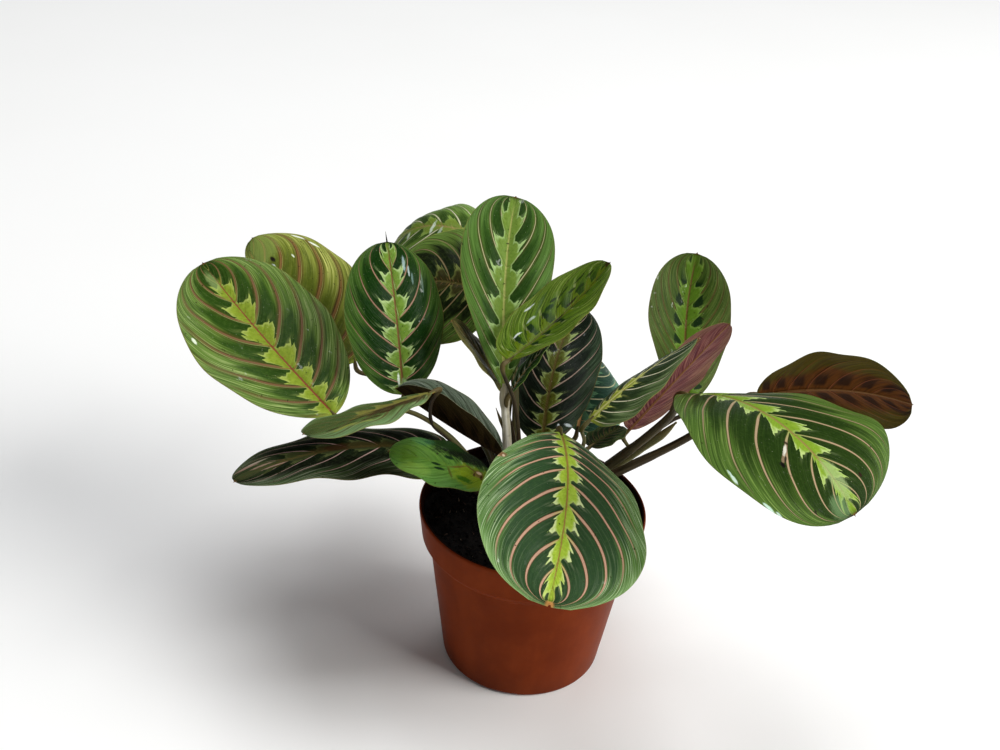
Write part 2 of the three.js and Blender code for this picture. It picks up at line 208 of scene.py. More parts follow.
def cover(start, base, roughness, height=None, depth=0.0002, wet=None, **fixed):
    """Joins a colour, a roughness, a relief and a wet film to the surface that they make."""
    values = {"Base Color": base, "Roughness": roughness}
    values.update({key.replace("_", " "): number for key, number in fixed.items()})
    if height is not None:
        values["Normal"] = start.node("Bump", None, {"Height": height, "Distance": depth})
    if wet is not None:
        values["Coat Weight"] = wet
        values["Coat Roughness"] = wet_roughness
    surface = start.node("BsdfPrincipled", None, values)
    start.node("OutputMaterial", None, {"Surface": surface})


def new_piece(name, mesh, *materials):
    """A piece at the origin, with its place in its mesh."""
    made = bpy.data.objects.new(name, mesh)
    bpy.context.scene.collection.objects.link(made)
    for material in materials:
        mesh.materials.append(material)
    return made


floor_reach = 4.0
floor_paint, start = new_finish("floor_paint")
mottle = start.place().cloud(3, 4)
floor_tone = start.mix(mottle, colour(249, 249, 248), colour(253, 253, 253))
cover(start, floor_tone, mottle * 0.1 + 0.7)
floor_mesh = bpy.data.meshes.new("floor")
corners = [(-floor_reach, -floor_reach, 0), (floor_reach, -floor_reach, 0)]
corners += [(floor_reach, floor_reach, 0), (-floor_reach, floor_reach, 0)]
floor_mesh.from_pydata(corners, [], [(0, 1, 2, 3)])
new_piece("floor", floor_mesh, floor_paint)


# Pot
# A thin nursery pot, injection moulded in terracotta-coloured plastic: a tall collar, a
# tapered body and a foot with shallow notches. Six drain holes open in a raised channel
# of the base.

pot_outline = [
    (0, 0), (24, 0), (25, 3), (37, 3), (38, 0), (42.1, 0), (43.5, 1.6), (53.6, 73.2),
    (57.9, 78.2), (58.1, 80.2), (60.0, 94.6), (59.7, 96.0), (57.9, 96.0), (57.6, 93.0),
    (56.5, 79.6), (52.1, 74.2), (43.0, 4.6), (0, 4.6),
]
corner_radius = 1.1
corner_steps = 4
pot_sectors = 192
foot_inner_radius = 38
foot_height = 4
notch_count = 4
notch_turn = math.radians(-98)
notch_half_width = 6.5
notch_soft_edge = 0.8
notch_height = 1.7
hole_count = 6
hole_sides = 32
hole_circle = 31.5
hole_radius = 3.5
drill_low = -2
drill_high = 8
inner_wall_foot = 0.0495
inner_wall_slope = 0.1


def eased(outline, radius):
    """An outline with its corners rounded. Its first and last points stay."""
    points = [Vector(p) for p in outline]
    made = [points[0]]
    for before, corner, after in zip(points, points[1:], points[2:]):
        back = min(radius, 0.45 * (before - corner).length, 0.45 * (after - corner).length)
        start_point = corner + (before - corner).normalized() * back
        end_point = corner + (after - corner).normalized() * back
        for step in range(corner_steps + 1):
            t = step / corner_steps
            a = start_point.lerp(corner, t)
            b = corner.lerp(end_point, t)
            made.append(a.lerp(b, t))
    made.append(points[-1])
    return made


def turned_mesh(name, outline, sectors):
    """A closed solid turned about the pot's axis, from an outline in millimetres."""
    angles = np.linspace(0, 2 * math.pi, sectors, endpoint=False)
    rings = outline[1:-1]
    points = [(0, 0, outline[0][1] / 1000)]
    for r, z in rings:
        points += [(r * math.cos(a) / 1000, r * math.sin(a) / 1000, z / 1000) for a in angles]
    points.append((0, 0, outline[-1][1] / 1000))
    faces = []
    last = len(points) - 1
    for j in range(sectors):
        k = (j + 1) % sectors
        faces.append((0, 1 + k, 1 + j))
        faces.append((last, last - sectors + j, last - sectors + k))
        for i in range(len(rings) - 1):
            a = 1 + i * sectors
            faces.append((a + j, a + k, a + sectors + k, a + sectors + j))
    mesh = bpy.data.meshes.new(name)
    mesh.from_pydata(points, [], faces)
    return mesh


pot_mesh = turned_mesh("pot_shell", eased(pot_outline, corner_radius), pot_sectors)
sector = 2 * math.pi / notch_count
for vertex in pot_mesh.vertices:
    x, y, z = vertex.co * 1000
    if z < foot_height and math.hypot(x, y) > foot_inner_radius:
        angle = math.atan2(y, x) - notch_turn
        off_centre = abs((angle + sector / 2) % sector - sector / 2) * math.hypot(x, y)
        shut = min(1, max(0, (off_centre - notch_half_width) / notch_soft_edge))
        vertex.co.z = max(z, notch_height * (1 - shut)) / 1000

drill = bpy.data.meshes.new("drain_holes")
drill_points = []
drill_faces = []
for hole in range(hole_count):
    angle = 2 * math.pi * (hole + 0.5) / hole_count
    first = len(drill_points)
    for side in range(hole_sides):
        round_angle = 2 * math.pi * side / hole_sides
        x = hole_circle * math.cos(angle) + hole_radius * math.cos(round_angle)
        y = hole_circle * math.sin(angle) + hole_radius * math.sin(round_angle)
        drill_points += [(x / 1000, y / 1000, z / 1000) for z in (drill_low, drill_high)]
        a = first + 2 * side
        b = first + 2 * ((side + 1) % hole_sides)
        drill_faces.append((a, b, b + 1, a + 1))
    drill_faces.append([first + 2 * side for side in reversed(range(hole_sides))])
    drill_faces.append([first + 2 * side + 1 for side in range(hole_sides)])
drill.from_pydata(drill_points, [], drill_faces)
drill_object = bpy.data.objects.new("drain_holes", drill)
bpy.context.scene.collection.objects.link(drill_object)

terracotta, start = new_finish("terracotta_plastic")
place = start.place()
x, y, z = place.parts()
mottle = place.cloud(45, 4, 0.6)
flow = start.vector(x * 60, y * 60, z * 7).cloud(1, 4, 0.6)
grain = place.cloud(1600, 2)
dust = place.cloud(260, 5, 0.65)
near_rim = z.rise(0.084, 0.0965)
dusty = (dust.rise(0.52, 0.72) * (near_rim * 0.35 + 0.1)).least(1)
base = start.mix(mottle.rise(0.3, 0.7), colour(110, 42, 11), colour(126, 52, 18))
base = start.mix(flow.rise(0.35, 0.75) * 0.5, base, colour(96, 34, 9))
base = start.mix(z.rise(0.0, 0.02), start.mix(0.3, base, colour(96, 44, 26)), base)
base = start.mix(dusty, base, colour(92, 54, 36))
# The wall's inner side, above the soil's step, is painted near black: painted shade
from_axis = start.sum("SQRT", x * x + y * y)
inner_wall_shade = (z * inner_wall_slope + inner_wall_foot - from_axis).rise(-0.0002, 0.0002)
inner_wall_shade = inner_wall_shade * z.rise(0.079, 0.080)
base = start.mix(inner_wall_shade * 0.94, base, colour(11, 7, 5))
scuffs = start.vector(x * 90, y * 90, z * 900).cloud(1, 3, 0.7).rise(0.62, 0.78)
roughness = mottle * 0.12 + 0.36 + dusty * 0.3 + scuffs * 0.12
relief = grain * 0.5 + flow * 0.9 + scuffs * 0.4
cover(start, base, roughness, relief, 0.00006, Specular_IOR_Level=0.03)

pot_shell = new_piece("pot_shell", pot_mesh, terracotta)
cut = pot_shell.modifiers.new("drain_holes", "BOOLEAN")
cut.operation = "DIFFERENCE"
cut.solver = "EXACT"
cut.object = drill_object


def smooth(piece, angle):
    """Smooth shading, with edges sharper than the angle kept crisp."""
    piece.data.shade_smooth()
    piece.data.set_sharp_from_angle(angle=math.radians(angle))


drilled = pot_shell.evaluated_get(bpy.context.evaluated_depsgraph_get())
drilled_mesh = bpy.data.meshes.new_from_object(drilled)
drilled_mesh.name = "pot_shell"
pot_shell.modifiers.clear()
pot_shell.data = drilled_mesh
bpy.data.objects.remove(drill_object)
smooth(pot_shell, 40)
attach(pot_shell, "root")
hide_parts("pot")


# Soil
# Dark, moist potting soil that fills the pot to a little below the rim. Its top is lumpy
# and strewn with crumbs, with a few pale grains and splinters of bark.

soil_level = 89.5
soil_bump = 1.3
soil_foot = 5.2
soil_radius = 57.0
soil_outline = [(42, soil_foot), (51.5, 74.5), (55.6, 80), (56.9, 87.5)]
soil_rings = 70
soil_sectors = 160
lying_height = 0.2


def soil_height(x, y):
    """Height of the soil's top, in millimetres."""
    lumps = math.sin(0.21 * x + 1) * math.cos(0.26 * y)
    lumps += 0.6 * math.sin(0.5 * x - 0.37 * y)
    clods = noise.fractal((x * 0.16, y * 0.16, 3), 1, 2, 4)
    return soil_level + soil_bump * lumps + 1.5 * clods


points = []
for r, z in soil_outline:
    for sector in range(soil_sectors):
        angle = 2 * math.pi * sector / soil_sectors
        points.append((r * math.cos(angle), r * math.sin(angle), z))
for ring in range(soil_rings):
    r = soil_radius * (1 - ring / soil_rings)
    for sector in range(soil_sectors):
        angle = 2 * math.pi * sector / soil_sectors
        x = r * math.cos(angle)
        y = r * math.sin(angle)
        points.append((x, y, soil_height(x, y)))
points += [(0, 0, soil_foot), (0, 0, soil_height(0, 0))]
faces = []
ring_count = len(soil_outline) + soil_rings
for sector in range(soil_sectors):
    after = (sector + 1) % soil_sectors
    faces.append((len(points) - 2, after, sector))
    for ring in range(ring_count - 1):
        a = ring * soil_sectors
        faces.append((a + sector, a + after, a + soil_sectors + after, a + soil_sectors + sector))
    inner = (ring_count - 1) * soil_sectors
    faces.append((inner + sector, inner + after, len(points) - 1))
soil_mesh = bpy.data.meshes.new("soil_fill")
soil_mesh.from_pydata([Vector(p) / 1000 for p in points], [], faces)

peat, start = new_finish("peat")
place = start.place()
lumps = place.cloud(180, 5, 0.65)
fibre = place.cloud(900, 4, 0.7)
base = start.mix(lumps.rise(0.35, 0.7), colour(3, 2, 2), colour(14, 11, 8))
base = start.mix(fibre.rise(0.6, 0.8) * 0.4, base, colour(34, 25, 18))
relief = lumps * 1.4 + fibre * 0.6
cover(start, base, 0.9 - lumps * 0.25, relief, 0.0012, Specular_IOR_Level=0.12)

soil_fill = new_piece("soil_fill", soil_mesh, peat)
smooth(soil_fill, 60)
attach(soil_fill, "root")
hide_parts("soil")


class Tree:
    """A geometry node tree with named inputs for the sizes."""

    def __init__(self, name, **inputs):
        self.tree = bpy.data.node_groups.new(name, "GeometryNodeTree")
        new_socket = self.tree.interface.new_socket
        new_socket("Geometry", in_out="OUTPUT", socket_type="NodeSocketGeometry")
        for label, kind in {"Geometry": "Geometry", **inputs}.items():
            new_socket(label, in_out="INPUT", socket_type="NodeSocket" + kind)
        self.given = self.tree.nodes.new("NodeGroupInput").outputs
        self.result = self.tree.nodes.new("NodeGroupOutput").inputs

    def add(self, kind, settings=None, inputs=None, output=0):
        """A node: its settings are set first, then the values or links of its inputs."""
        made = self.tree.nodes.new(kind)
        for key, setting in (settings or {}).items():
            setattr(made, key, setting)
        for key, value in (inputs or {}).items():
            if isinstance(value, bpy.types.NodeSocket):
                self.tree.links.new(value, made.inputs[key])
            else:
                made.inputs[key].default_value = value
        return made.outputs[output]

    def finish(self, geometry, material):
        """Real geometry with its material at the end of the tree."""
        real = self.add("GeometryNodeRealizeInstances", None, {0: geometry})
        dressed = self.add("GeometryNodeSetMaterial", None, {
            "Geometry": real, "Material": material})
        self.tree.links.new(dressed, self.result[0])

    def grow(self, name, source, **sizes):
        """The mesh that the tree makes from a source mesh, as a new piece."""
        carrier = bpy.data.objects.new(name + "_source", source)
        bpy.context.scene.collection.objects.link(carrier)
        modifier = carrier.modifiers.new("grow", "NODES")
        modifier.node_group = self.tree
        for item in self.tree.interface.items_tree:
            if item.in_out == "INPUT" and item.name in sizes:
                modifier[item.identifier] = sizes[item.name]
        found = carrier.evaluated_get(bpy.context.evaluated_depsgraph_get())
        mesh = bpy.data.meshes.new_from_object(found)
        mesh.name = name
        bpy.data.objects.remove(carrier)
        made = bpy.data.objects.new(name, mesh)
        bpy.context.scene.collection.objects.link(made)
        return made


def strewn(name, material):
    """A tree that strews small broken pieces over a surface."""
    tree = Tree(name, Density="Float", Smallest="Vector", Largest="Vector", Seed="Int")
    given = tree.given
    spots = tree.add("GeometryNodeDistributePointsOnFaces", {"distribute_method": "RANDOM"}, {
        "Mesh": given["Geometry"], "Density": given["Density"], "Seed": given["Seed"]})
    lump = tree.add("GeometryNodeMeshIcoSphere", None, {"Radius": 0.5, "Subdivisions": 1})
    size = tree.add("FunctionNodeRandomValue", {"data_type": "FLOAT_VECTOR"}, {
        0: given["Smallest"], 1: given["Largest"], "Seed": 4})
    spin = tree.add("FunctionNodeRandomValue", {"data_type": "FLOAT_VECTOR"}, {
        0: (0, 0, 0), 1: (6.28, 6.28, 6.28), "Seed": 9})
    placed = tree.add("GeometryNodeInstanceOnPoints", None, {
        "Points": spots, "Instance": lump, "Rotation": spin, "Scale": size})
    real = tree.add("GeometryNodeRealizeInstances", None, {0: placed})
    rough = tree.add("ShaderNodeTexNoise", None, {"Scale": 900.0, "Detail": 1.0}, 1)
    centred = tree.add("ShaderNodeVectorMath", {"operation": "SUBTRACT"}, {
        0: rough, 1: (0.5, 0.5, 0.5)})
    shift = tree.add("ShaderNodeVectorMath", {"operation": "SCALE"}, {
        0: centred, "Scale": 0.0012})
    broken = tree.add("GeometryNodeSetPosition", None, {"Geometry": real, "Offset": shift})
    tree.finish(broken, material)
    return tree


def soil_patch(name, radius):
    """The soil's top within a radius, for things to lie on."""
    count = 24
    half_cell = radius / count
    spots = []
    cells = []
    for i in range(count + 1):
        for j in range(count + 1):
            x = radius * (2 * i / count - 1)
            y = radius * (2 * j / count - 1)
            spots.append(Vector((x, y, soil_height(x, y) + lying_height)) / 1000)
            within = math.hypot(x + half_cell, y + half_cell) < radius
            if i < count and j < count and within:
                a = i * (count + 1) + j
                cells.append((a, a + count + 1, a + count + 2, a + 1))
    mesh = bpy.data.meshes.new(name)
    mesh.from_pydata(spots, [], cells)
    return mesh


pale_bits, start = new_finish("bark_and_grit")
place = start.place()
kind = place.cloud(120, 1)
base = start.mix(kind.rise(0.45, 0.55), colour(70, 50, 34), colour(122, 108, 90))
base = start.mix(place.cloud(700, 3), base, colour(40, 28, 18))
cover(start, base, 0.85, place.cloud(1500), 0.0002)

crumbs = strewn("soil_crumbs", peat).grow(
    "soil_crumbs", soil_patch("crumb_patch", 55), Density=130000.0,
    Smallest=(0.0008, 0.0006, 0.0005), Largest=(0.0034, 0.0026, 0.002), Seed=3)
splinters = strewn("soil_splinters", pale_bits).grow(
    "soil_splinters", soil_patch("splinter_patch", 54), Density=9000.0,
    Smallest=(0.0006, 0.0005, 0.0004), Largest=(0.0055, 0.0012, 0.0008), Seed=8)
for piece in (crumbs, splinters):
    smooth(piece, 35)
    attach(piece, "root")


# Stems
# Each leaf stands on its own stalk. The stalks of a shoot come out of one crown in the
# soil, wrapped in a sheath for the lower part, and each swells into a short joint under
# its blade.

crown_foot = 76
crown_top = 99
stalk_foot = 84
stalk_free = 95
joint_length = 9
joint_swelling = 0.42
sheath_swelling = 0.10
sheath_end = 0.45
inside_blade = 3
path_spacing = 1.2


def smooth_path(points):
    """Evenly spaced points on a centripetal curve through the given ones."""
    points = [np.array(p, float) for p in points]
    points = [2 * points[0] - points[1]] + points + [2 * points[-1] - points[-2]]
    made = []
    for stretch in zip(points, points[1:], points[2:], points[3:]):
        knots = [0.0]
        for near, far in zip(stretch, stretch[1:]):
            knots.append(knots[-1] + max(1e-6, np.linalg.norm(far - near)) ** 0.5)
        for t in np.linspace(knots[1], knots[2], 16, endpoint=False):
            curve = stretch
            for step in (1, 2):
                curve = [
                    p + (q - p) * (t - start) / (end - start)
                    for p, q, start, end in zip(curve, curve[1:], knots, knots[step:])]
            p, q = curve
            made.append(p + (q - p) * (t - knots[1]) / (knots[2] - knots[1]))
    made.append(points[-2])
    made = np.array(made)
    walked = np.concatenate([[0], np.cumsum(np.linalg.norm(np.diff(made, axis=0), axis=1))])
    even = np.linspace(0, walked[-1], max(8, int(walked[-1] / path_spacing)))
    return np.stack([np.interp(even, walked, made[:, k]) for k in range(3)], -1), even


stalk_tree = Tree("leaf_stalks", Spacing="Float", Sides="Int")
lines = stalk_tree.add("GeometryNodeMeshToCurve", None, {"Mesh": stalk_tree.given["Geometry"]})
even = stalk_tree.add("GeometryNodeResampleCurve", {"mode": "LENGTH"}, {
    "Curve": lines, "Length": stalk_tree.given["Spacing"]})
girth = stalk_tree.add("GeometryNodeInputNamedAttribute", {"data_type": "FLOAT"}, {
    "Name": "girth"})
ring = stalk_tree.add("GeometryNodeCurvePrimitiveCircle", None, {
    "Resolution": stalk_tree.given["Sides"], "Radius": 1.0})
round_the_ring = stalk_tree.add("GeometryNodeSplineParameter")
ring = stalk_tree.add("GeometryNodeStoreNamedAttribute", {"data_type": "FLOAT"}, {
    "Geometry": ring, "Name": "around", "Value": round_the_ring})
tubes = stalk_tree.add("GeometryNodeCurveToMesh", None, {
    "Curve": even, "Profile Curve": ring, "Scale": girth, "Fill Caps": True})
stem_skin, start = new_finish("stem_skin")
stalk_tree.finish(tubes, stem_skin)

run, grown, to_blade = start.stored("growth").parts()
tone = start.stored("tone", "Fac")
around = start.stored("around", "Fac")
place = start.place()
streak = start.vector(run * 0.035, (around - 0.5).size() * 9, tone * 31).cloud(1, 4, 0.6)
blot = place.cloud(160, 3, 0.6)
dark_skin = start.mix(streak.rise(0.3, 0.7), colour(22, 16, 9), colour(72, 60, 42))
green_skin = start.mix(streak.rise(0.3, 0.7), colour(74, 76, 36), colour(112, 108, 64))
pale_skin = start.mix(streak.rise(0.3, 0.7), colour(180, 172, 140), colour(244, 240, 222))
base = start.mix(tone.rise(0.15, 0.5), dark_skin, green_skin)
base = start.mix(tone.rise(0.55, 0.95), base, pale_skin)
base = start.mix(blot.rise(0.5, 0.75) * 0.45, base, colour(70, 40, 28))
joint = to_blade.rise(joint_length + 3, joint_length - 2)
base = start.mix(joint * 0.55, base, colour(104, 92, 52))
base = start.mix(run.fall(2, 16) * 0.8, base, colour(52, 38, 26))
relief = streak + blot * 0.3
cover(start, base, 0.42 + streak * 0.15, relief, 0.0003, Specular_IOR_Level=0.15)


def direction(heading, pitch):
    """Unit vectors that point along a heading and a pitch, in radians."""
    level = np.cos(pitch)
    return np.stack([level * np.cos(heading), level * np.sin(heading), np.sin(pitch)], -1)


def stalk_points(shape, crown, crown_radius):
    """Where a stalk runs, from inside its crown to just inside the foot of its blade."""
    crown = np.array(crown, float)
    lean = np.array(shape["stalk"][0][:2], float) - crown
    lean *= max(0, crown_radius - shape["thick"] - 0.8) / max(1e-6, np.linalg.norm(lean))
    ahead = direction(math.radians(shape["heading"]), math.radians(shape["pitch"]))
    foot = np.array(shape["at"], float)
    points = [(*(crown + 0.5 * lean), stalk_foot), (*(crown + lean), stalk_free)]
    points += shape["stalk"]
    return points + [foot - ahead * 5, foot - ahead * 0.4, foot + ahead * inside_blade]


def stalk_radius(leaf, walked):
    """How thick a stalk is along its way. A piece with no joint tapers to a dry end."""
    grown = walked / walked[-1]
    to_blade = walked[-1] - inside_blade - walked
    foot = leaf["thick"]
    end = leaf.get("thin", max(0.9, 0.6 * foot))
    radius = foot + (end - foot) * grown
    past_sheath = np.clip((grown - sheath_end) / 0.03, 0, 1)
    radius = radius * (1 + sheath_swelling * (1 - past_sheath) * (grown > 0.1))
    if leaf.get("joint", True):
        off_joint = np.abs(to_blade - joint_length / 2) / (joint_length / 2 + 1.5)
        radius = radius * (1 + joint_swelling * np.clip(1 - off_joint, 0, 1) ** 0.7)
        radius = radius * np.clip(1 + (to_blade - 0.5) / 6, 0.55, 1)
    else:
        radius = radius * np.clip((1 - grown) / 0.25, 0.12, 1) ** 0.7
    return radius, grown, to_blade


def grow_stems(name, crown, crown_radius, leaves, extra=()):
    """A shoot: its crown and the stalks of its leaves, in place of the node of that name."""
    spots, links, girths, tones, growths = [], [], [], [], []
    runs = [(stalk_points(leaf, crown, crown_radius), leaf) for leaf in leaves]
    for points, leaf in runs + list(extra):
        path, walked = smooth_path(points)
        radius, grown, to_blade = stalk_radius(leaf, walked)
        first = len(spots)
        spots += [tuple(p / 1000) for p in path]
        links += [(first + i, first + i + 1) for i in range(len(path) - 1)]
        girths += list(radius / 1000)
        tones += [leaf["tone"]] * len(path)
        growths += list(zip(walked, grown, to_blade))
    source = bpy.data.meshes.new(name + "_lines")
    source.from_pydata(spots, links, [])
    for label, numbers in (("girth", girths), ("tone", tones)):
        layer = source.attributes.new(label, "FLOAT", "POINT")
        layer.data.foreach_set("value", np.array(numbers, np.float32))
    layer = source.attributes.new("growth", "FLOAT_VECTOR", "POINT")
    layer.data.foreach_set("vector", np.array(growths, np.float32).ravel())
    stalks = stalk_tree.grow(name + "_stalks", source, Spacing=0.0016, Sides=12)

    x, y = crown
    outline = [(0, crown_foot), (crown_radius - 1, crown_foot), (crown_radius, crown_foot + 3)]
    outline += [(crown_radius, crown_top - 7), (0.82 * crown_radius, crown_top - 2)]
    outline += [(0, crown_top)]
    crown_mesh = turned_mesh(name + "_crown", eased(outline, 2.2), 40)
    for vertex in crown_mesh.vertices:
        spot = vertex.co * 1000
        wrinkle = 0.35 * math.sin(7 * math.atan2(spot.y, spot.x) + 0.3 * spot.z)
        wrinkle += 0.5 * noise.noise(spot * 0.5)
        shrink = 1 - 0.06 * max(0, 1 + wrinkle)
        vertex.co = Vector((spot.x * shrink + x, spot.y * shrink + y, spot.z)) / 1000
    crown_piece = new_piece(name + "_crown", crown_mesh, crown_skin)
    for piece in (stalks, crown_piece):
        smooth(piece, 60)
        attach(piece, "root")
    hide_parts(name)
    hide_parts(name)


crown_skin, start = new_finish("crown_skin")
place = start.place()
x, y, z = place.parts()
fibre = start.vector(x * 900, y * 900, z * 90).cloud(1, 4, 0.65)
base = start.mix(fibre.rise(0.3, 0.7), colour(38, 26, 17), colour(86, 64, 44))
cover(start, base, 0.75, fibre, 0.0008)


# Leaf blades
# Broad, thin living blades. Each side has veins that leave the midrib and bend towards
# the tip, and lime lobes that open along the midrib between them. The surface swells
# between the veins.

row_spacing = 1.15
column_spacing = 2.9
ripple_rate = 17
droop_power = 1.3
base_half_width = 1.6
tip_half_width = 0.5
tip_length = 0.7
half_thickness = 0.24
swell_height = 0.45
groove_depth = 0.45
rib_depth = 0.65
drift_height = 0.9
lip_reach = 6


def vein_start(place, across):
    """Where on the midrib, from 0 at the stalk to 1 at the tip, the vein through here began."""
    along = np.minimum(place, 1)
    return along - along * (1 - 0.45 * along) * (0.65 * np.abs(across) + 0.32 * across**2)


def vein_number(began, shape):
    """Veins passed on the way up the midrib. They are closer at both ends, and at the foot."""
    even = began.copy()
    for _ in range(8):
        even = began + 0.05 * np.sin(2 * math.pi * even)
    crowded = shape.get("crowd", 0) * np.sin(math.pi * even) / math.pi
    return shape["veins"] * (even + crowded)


def point_share(shape):
    """The drawn-out point at the tip, as a share of the blade's length."""
    return shape.get("point", tip_length) / shape["length"]


def half_widths(shape, along):
    """The blade's half width along the midrib, in millimetres."""
    held = np.clip(along, 0, 1)
    grown = held ** (math.log(0.5) / math.log(shape["widest"]))
    oval = np.sqrt(np.maximum(0, 4 * grown * (1 - grown)))
    ends = base_half_width * (1 - held) + tip_half_width * held
    ends = ends * (1 - 0.8 * np.clip((along - 1) / point_share(shape), 0, 1))
    wedge = 1 - shape["wedge"] * (1 - held) ** 2
    return np.maximum(ends, shape["width"] / 2 * oval * wedge)


def blade_rows(shape, along, across):
    """The blade's middle surface, in millimetres, and its half width at each row."""
    fine = np.linspace(0, 1 + point_share(shape), 600)
    heading = np.radians(shape["heading"] + shape["sway"] * fine)
    ahead = direction(heading, np.radians(shape["pitch"] - shape["bend"] * fine**droop_power))
    steps = (ahead[1:] + ahead[:-1]) / 2 * (np.diff(fine) * shape["length"])[:, None]
    midrib = np.vstack([np.zeros(3), np.cumsum(steps, 0)]) + np.array(shape["at"])
    centre = np.stack([np.interp(along, fine, midrib[:, k]) for k in range(3)], -1)
    heading = np.interp(along, fine, heading)
    ahead = np.stack([np.interp(along, fine, ahead[:, k]) for k in range(3)], -1)
    level = np.stack([np.sin(heading), -np.cos(heading), 0 * heading], -1)
    raised = np.cross(level, ahead)
    roll = math.radians(shape["roll"])
    side = level * math.cos(roll) + raised * math.sin(roll)
    over = raised * math.cos(roll) - level * math.sin(roll)

    half = half_widths(shape, along)
    fold = math.radians(shape["fold"])
    curl = math.radians(shape["curl"])
    reach = np.abs(across)
    out = (np.sin(fold + curl * reach) - math.sin(fold)) / curl
    climb = (math.cos(fold) - np.cos(fold + curl * reach)) / curl
    phase = ripple_rate * along[:, None] + np.where(across > 0, 0, 2)[None]
    calm_ends = np.sin(math.pi * np.clip(along, 0, 1))[:, None]
    ripple = shape["wave"] * across**2 * calm_ends * np.sin(phase)
    points = centre[:, None] + side[:, None] * (half[:, None] * np.sign(across) * out)[..., None]
    points = points + over[:, None] * (half[:, None] * climb + ripple)[..., None]
    return points, half


def blade_skins(shape):
    """The upper and the lower skin as grids, in millimetres, with what the finishes read.

    The first answer is the place of each column, from -1 at one edge to 1 at the other.
    """
    even = np.linspace(0, 1, max(40, int(shape["length"] / row_spacing)))
    along = 0.5 - 0.5 * np.cos(math.pi * even) * (1 - 0.5 * np.sin(math.pi * even))
    along = np.concatenate([along, 1 + point_share(shape) * np.array([0.35, 0.7, 1])])
    shift = shape.get("midrib", 0)
    columns = max(12, int(shape["width"] / column_spacing)) + 1
    across = np.concatenate([
        np.linspace(-1, shift, columns), np.linspace(shift, 1, columns)[1:]])
    points, half = blade_rows(shape, along, across)
    facing = np.cross(np.gradient(points, axis=1), np.gradient(points, axis=0))
    facing /= np.linalg.norm(facing, axis=-1, keepdims=True) + 1e-12

    side_share = np.where(across > shift, 1 - shift, 1 + shift)
    grid_along, grid_across = np.meshgrid(along, (across - shift) / side_share, indexing="ij")
    began = vein_start(grid_along, grid_across)
    offset = np.where(grid_across > 0, shape["starts"][1], shape["starts"][0])
    veins = vein_number(began, shape) - offset
    lobes = vein_number((began + np.minimum(grid_along, 1)) / 2, shape) - offset
    reach = np.abs(grid_across)
    half_here = half[:, None] * side_share[None]
    from_midrib = half_here * reach
    held = np.clip(grid_along, 0, 1)

    calm = np.sin(math.pi * held) ** 0.5 * np.clip(reach / 0.25, 0, 1) * (1 - reach**4)
    swell = swell_height * shape["swell"] * calm * (0.5 - 0.5 * np.cos(2 * math.pi * veins))
    groove = -groove_depth * np.exp(-((from_midrib / 1.1) ** 2)) * (1 - 0.6 * held)
    seed = shape["seed"]
    uneven = np.array([[noise.noise((a * 3.1, c * 1.7, seed)) for c in across] for a in along])
    drift = uneven * drift_height * np.sin(math.pi * held) * reach
    from_edge = half[:, None] * (1 - np.abs(across))[None]
    near_tip = np.clip((grid_along - 0.68) / 0.2, 0, 1)
    drift += shape.get("lip", 0) * np.clip(1 - from_edge / lip_reach, 0, 1) ** 1.6 * near_tip
    thin = half_thickness * (1 - 0.55 * reach**6) * np.clip(1.02 - 0.3 * held, 0, 1)
    rib = rib_depth * np.exp(-((from_midrib / 0.9) ** 2)) * (1 - held)
    top = points + facing * (drift + swell + groove + thin)[..., None]
    low = points + facing * (drift + 0.8 * swell + groove * 0.3 - thin - rib)[..., None]

    notes = {
        "course": np.stack([veins, lobes, grid_along], -1),
        "spot": np.stack([shape["length"] * grid_along, half_here * grid_across, reach], -1),
    }
    return across, top, low, notes


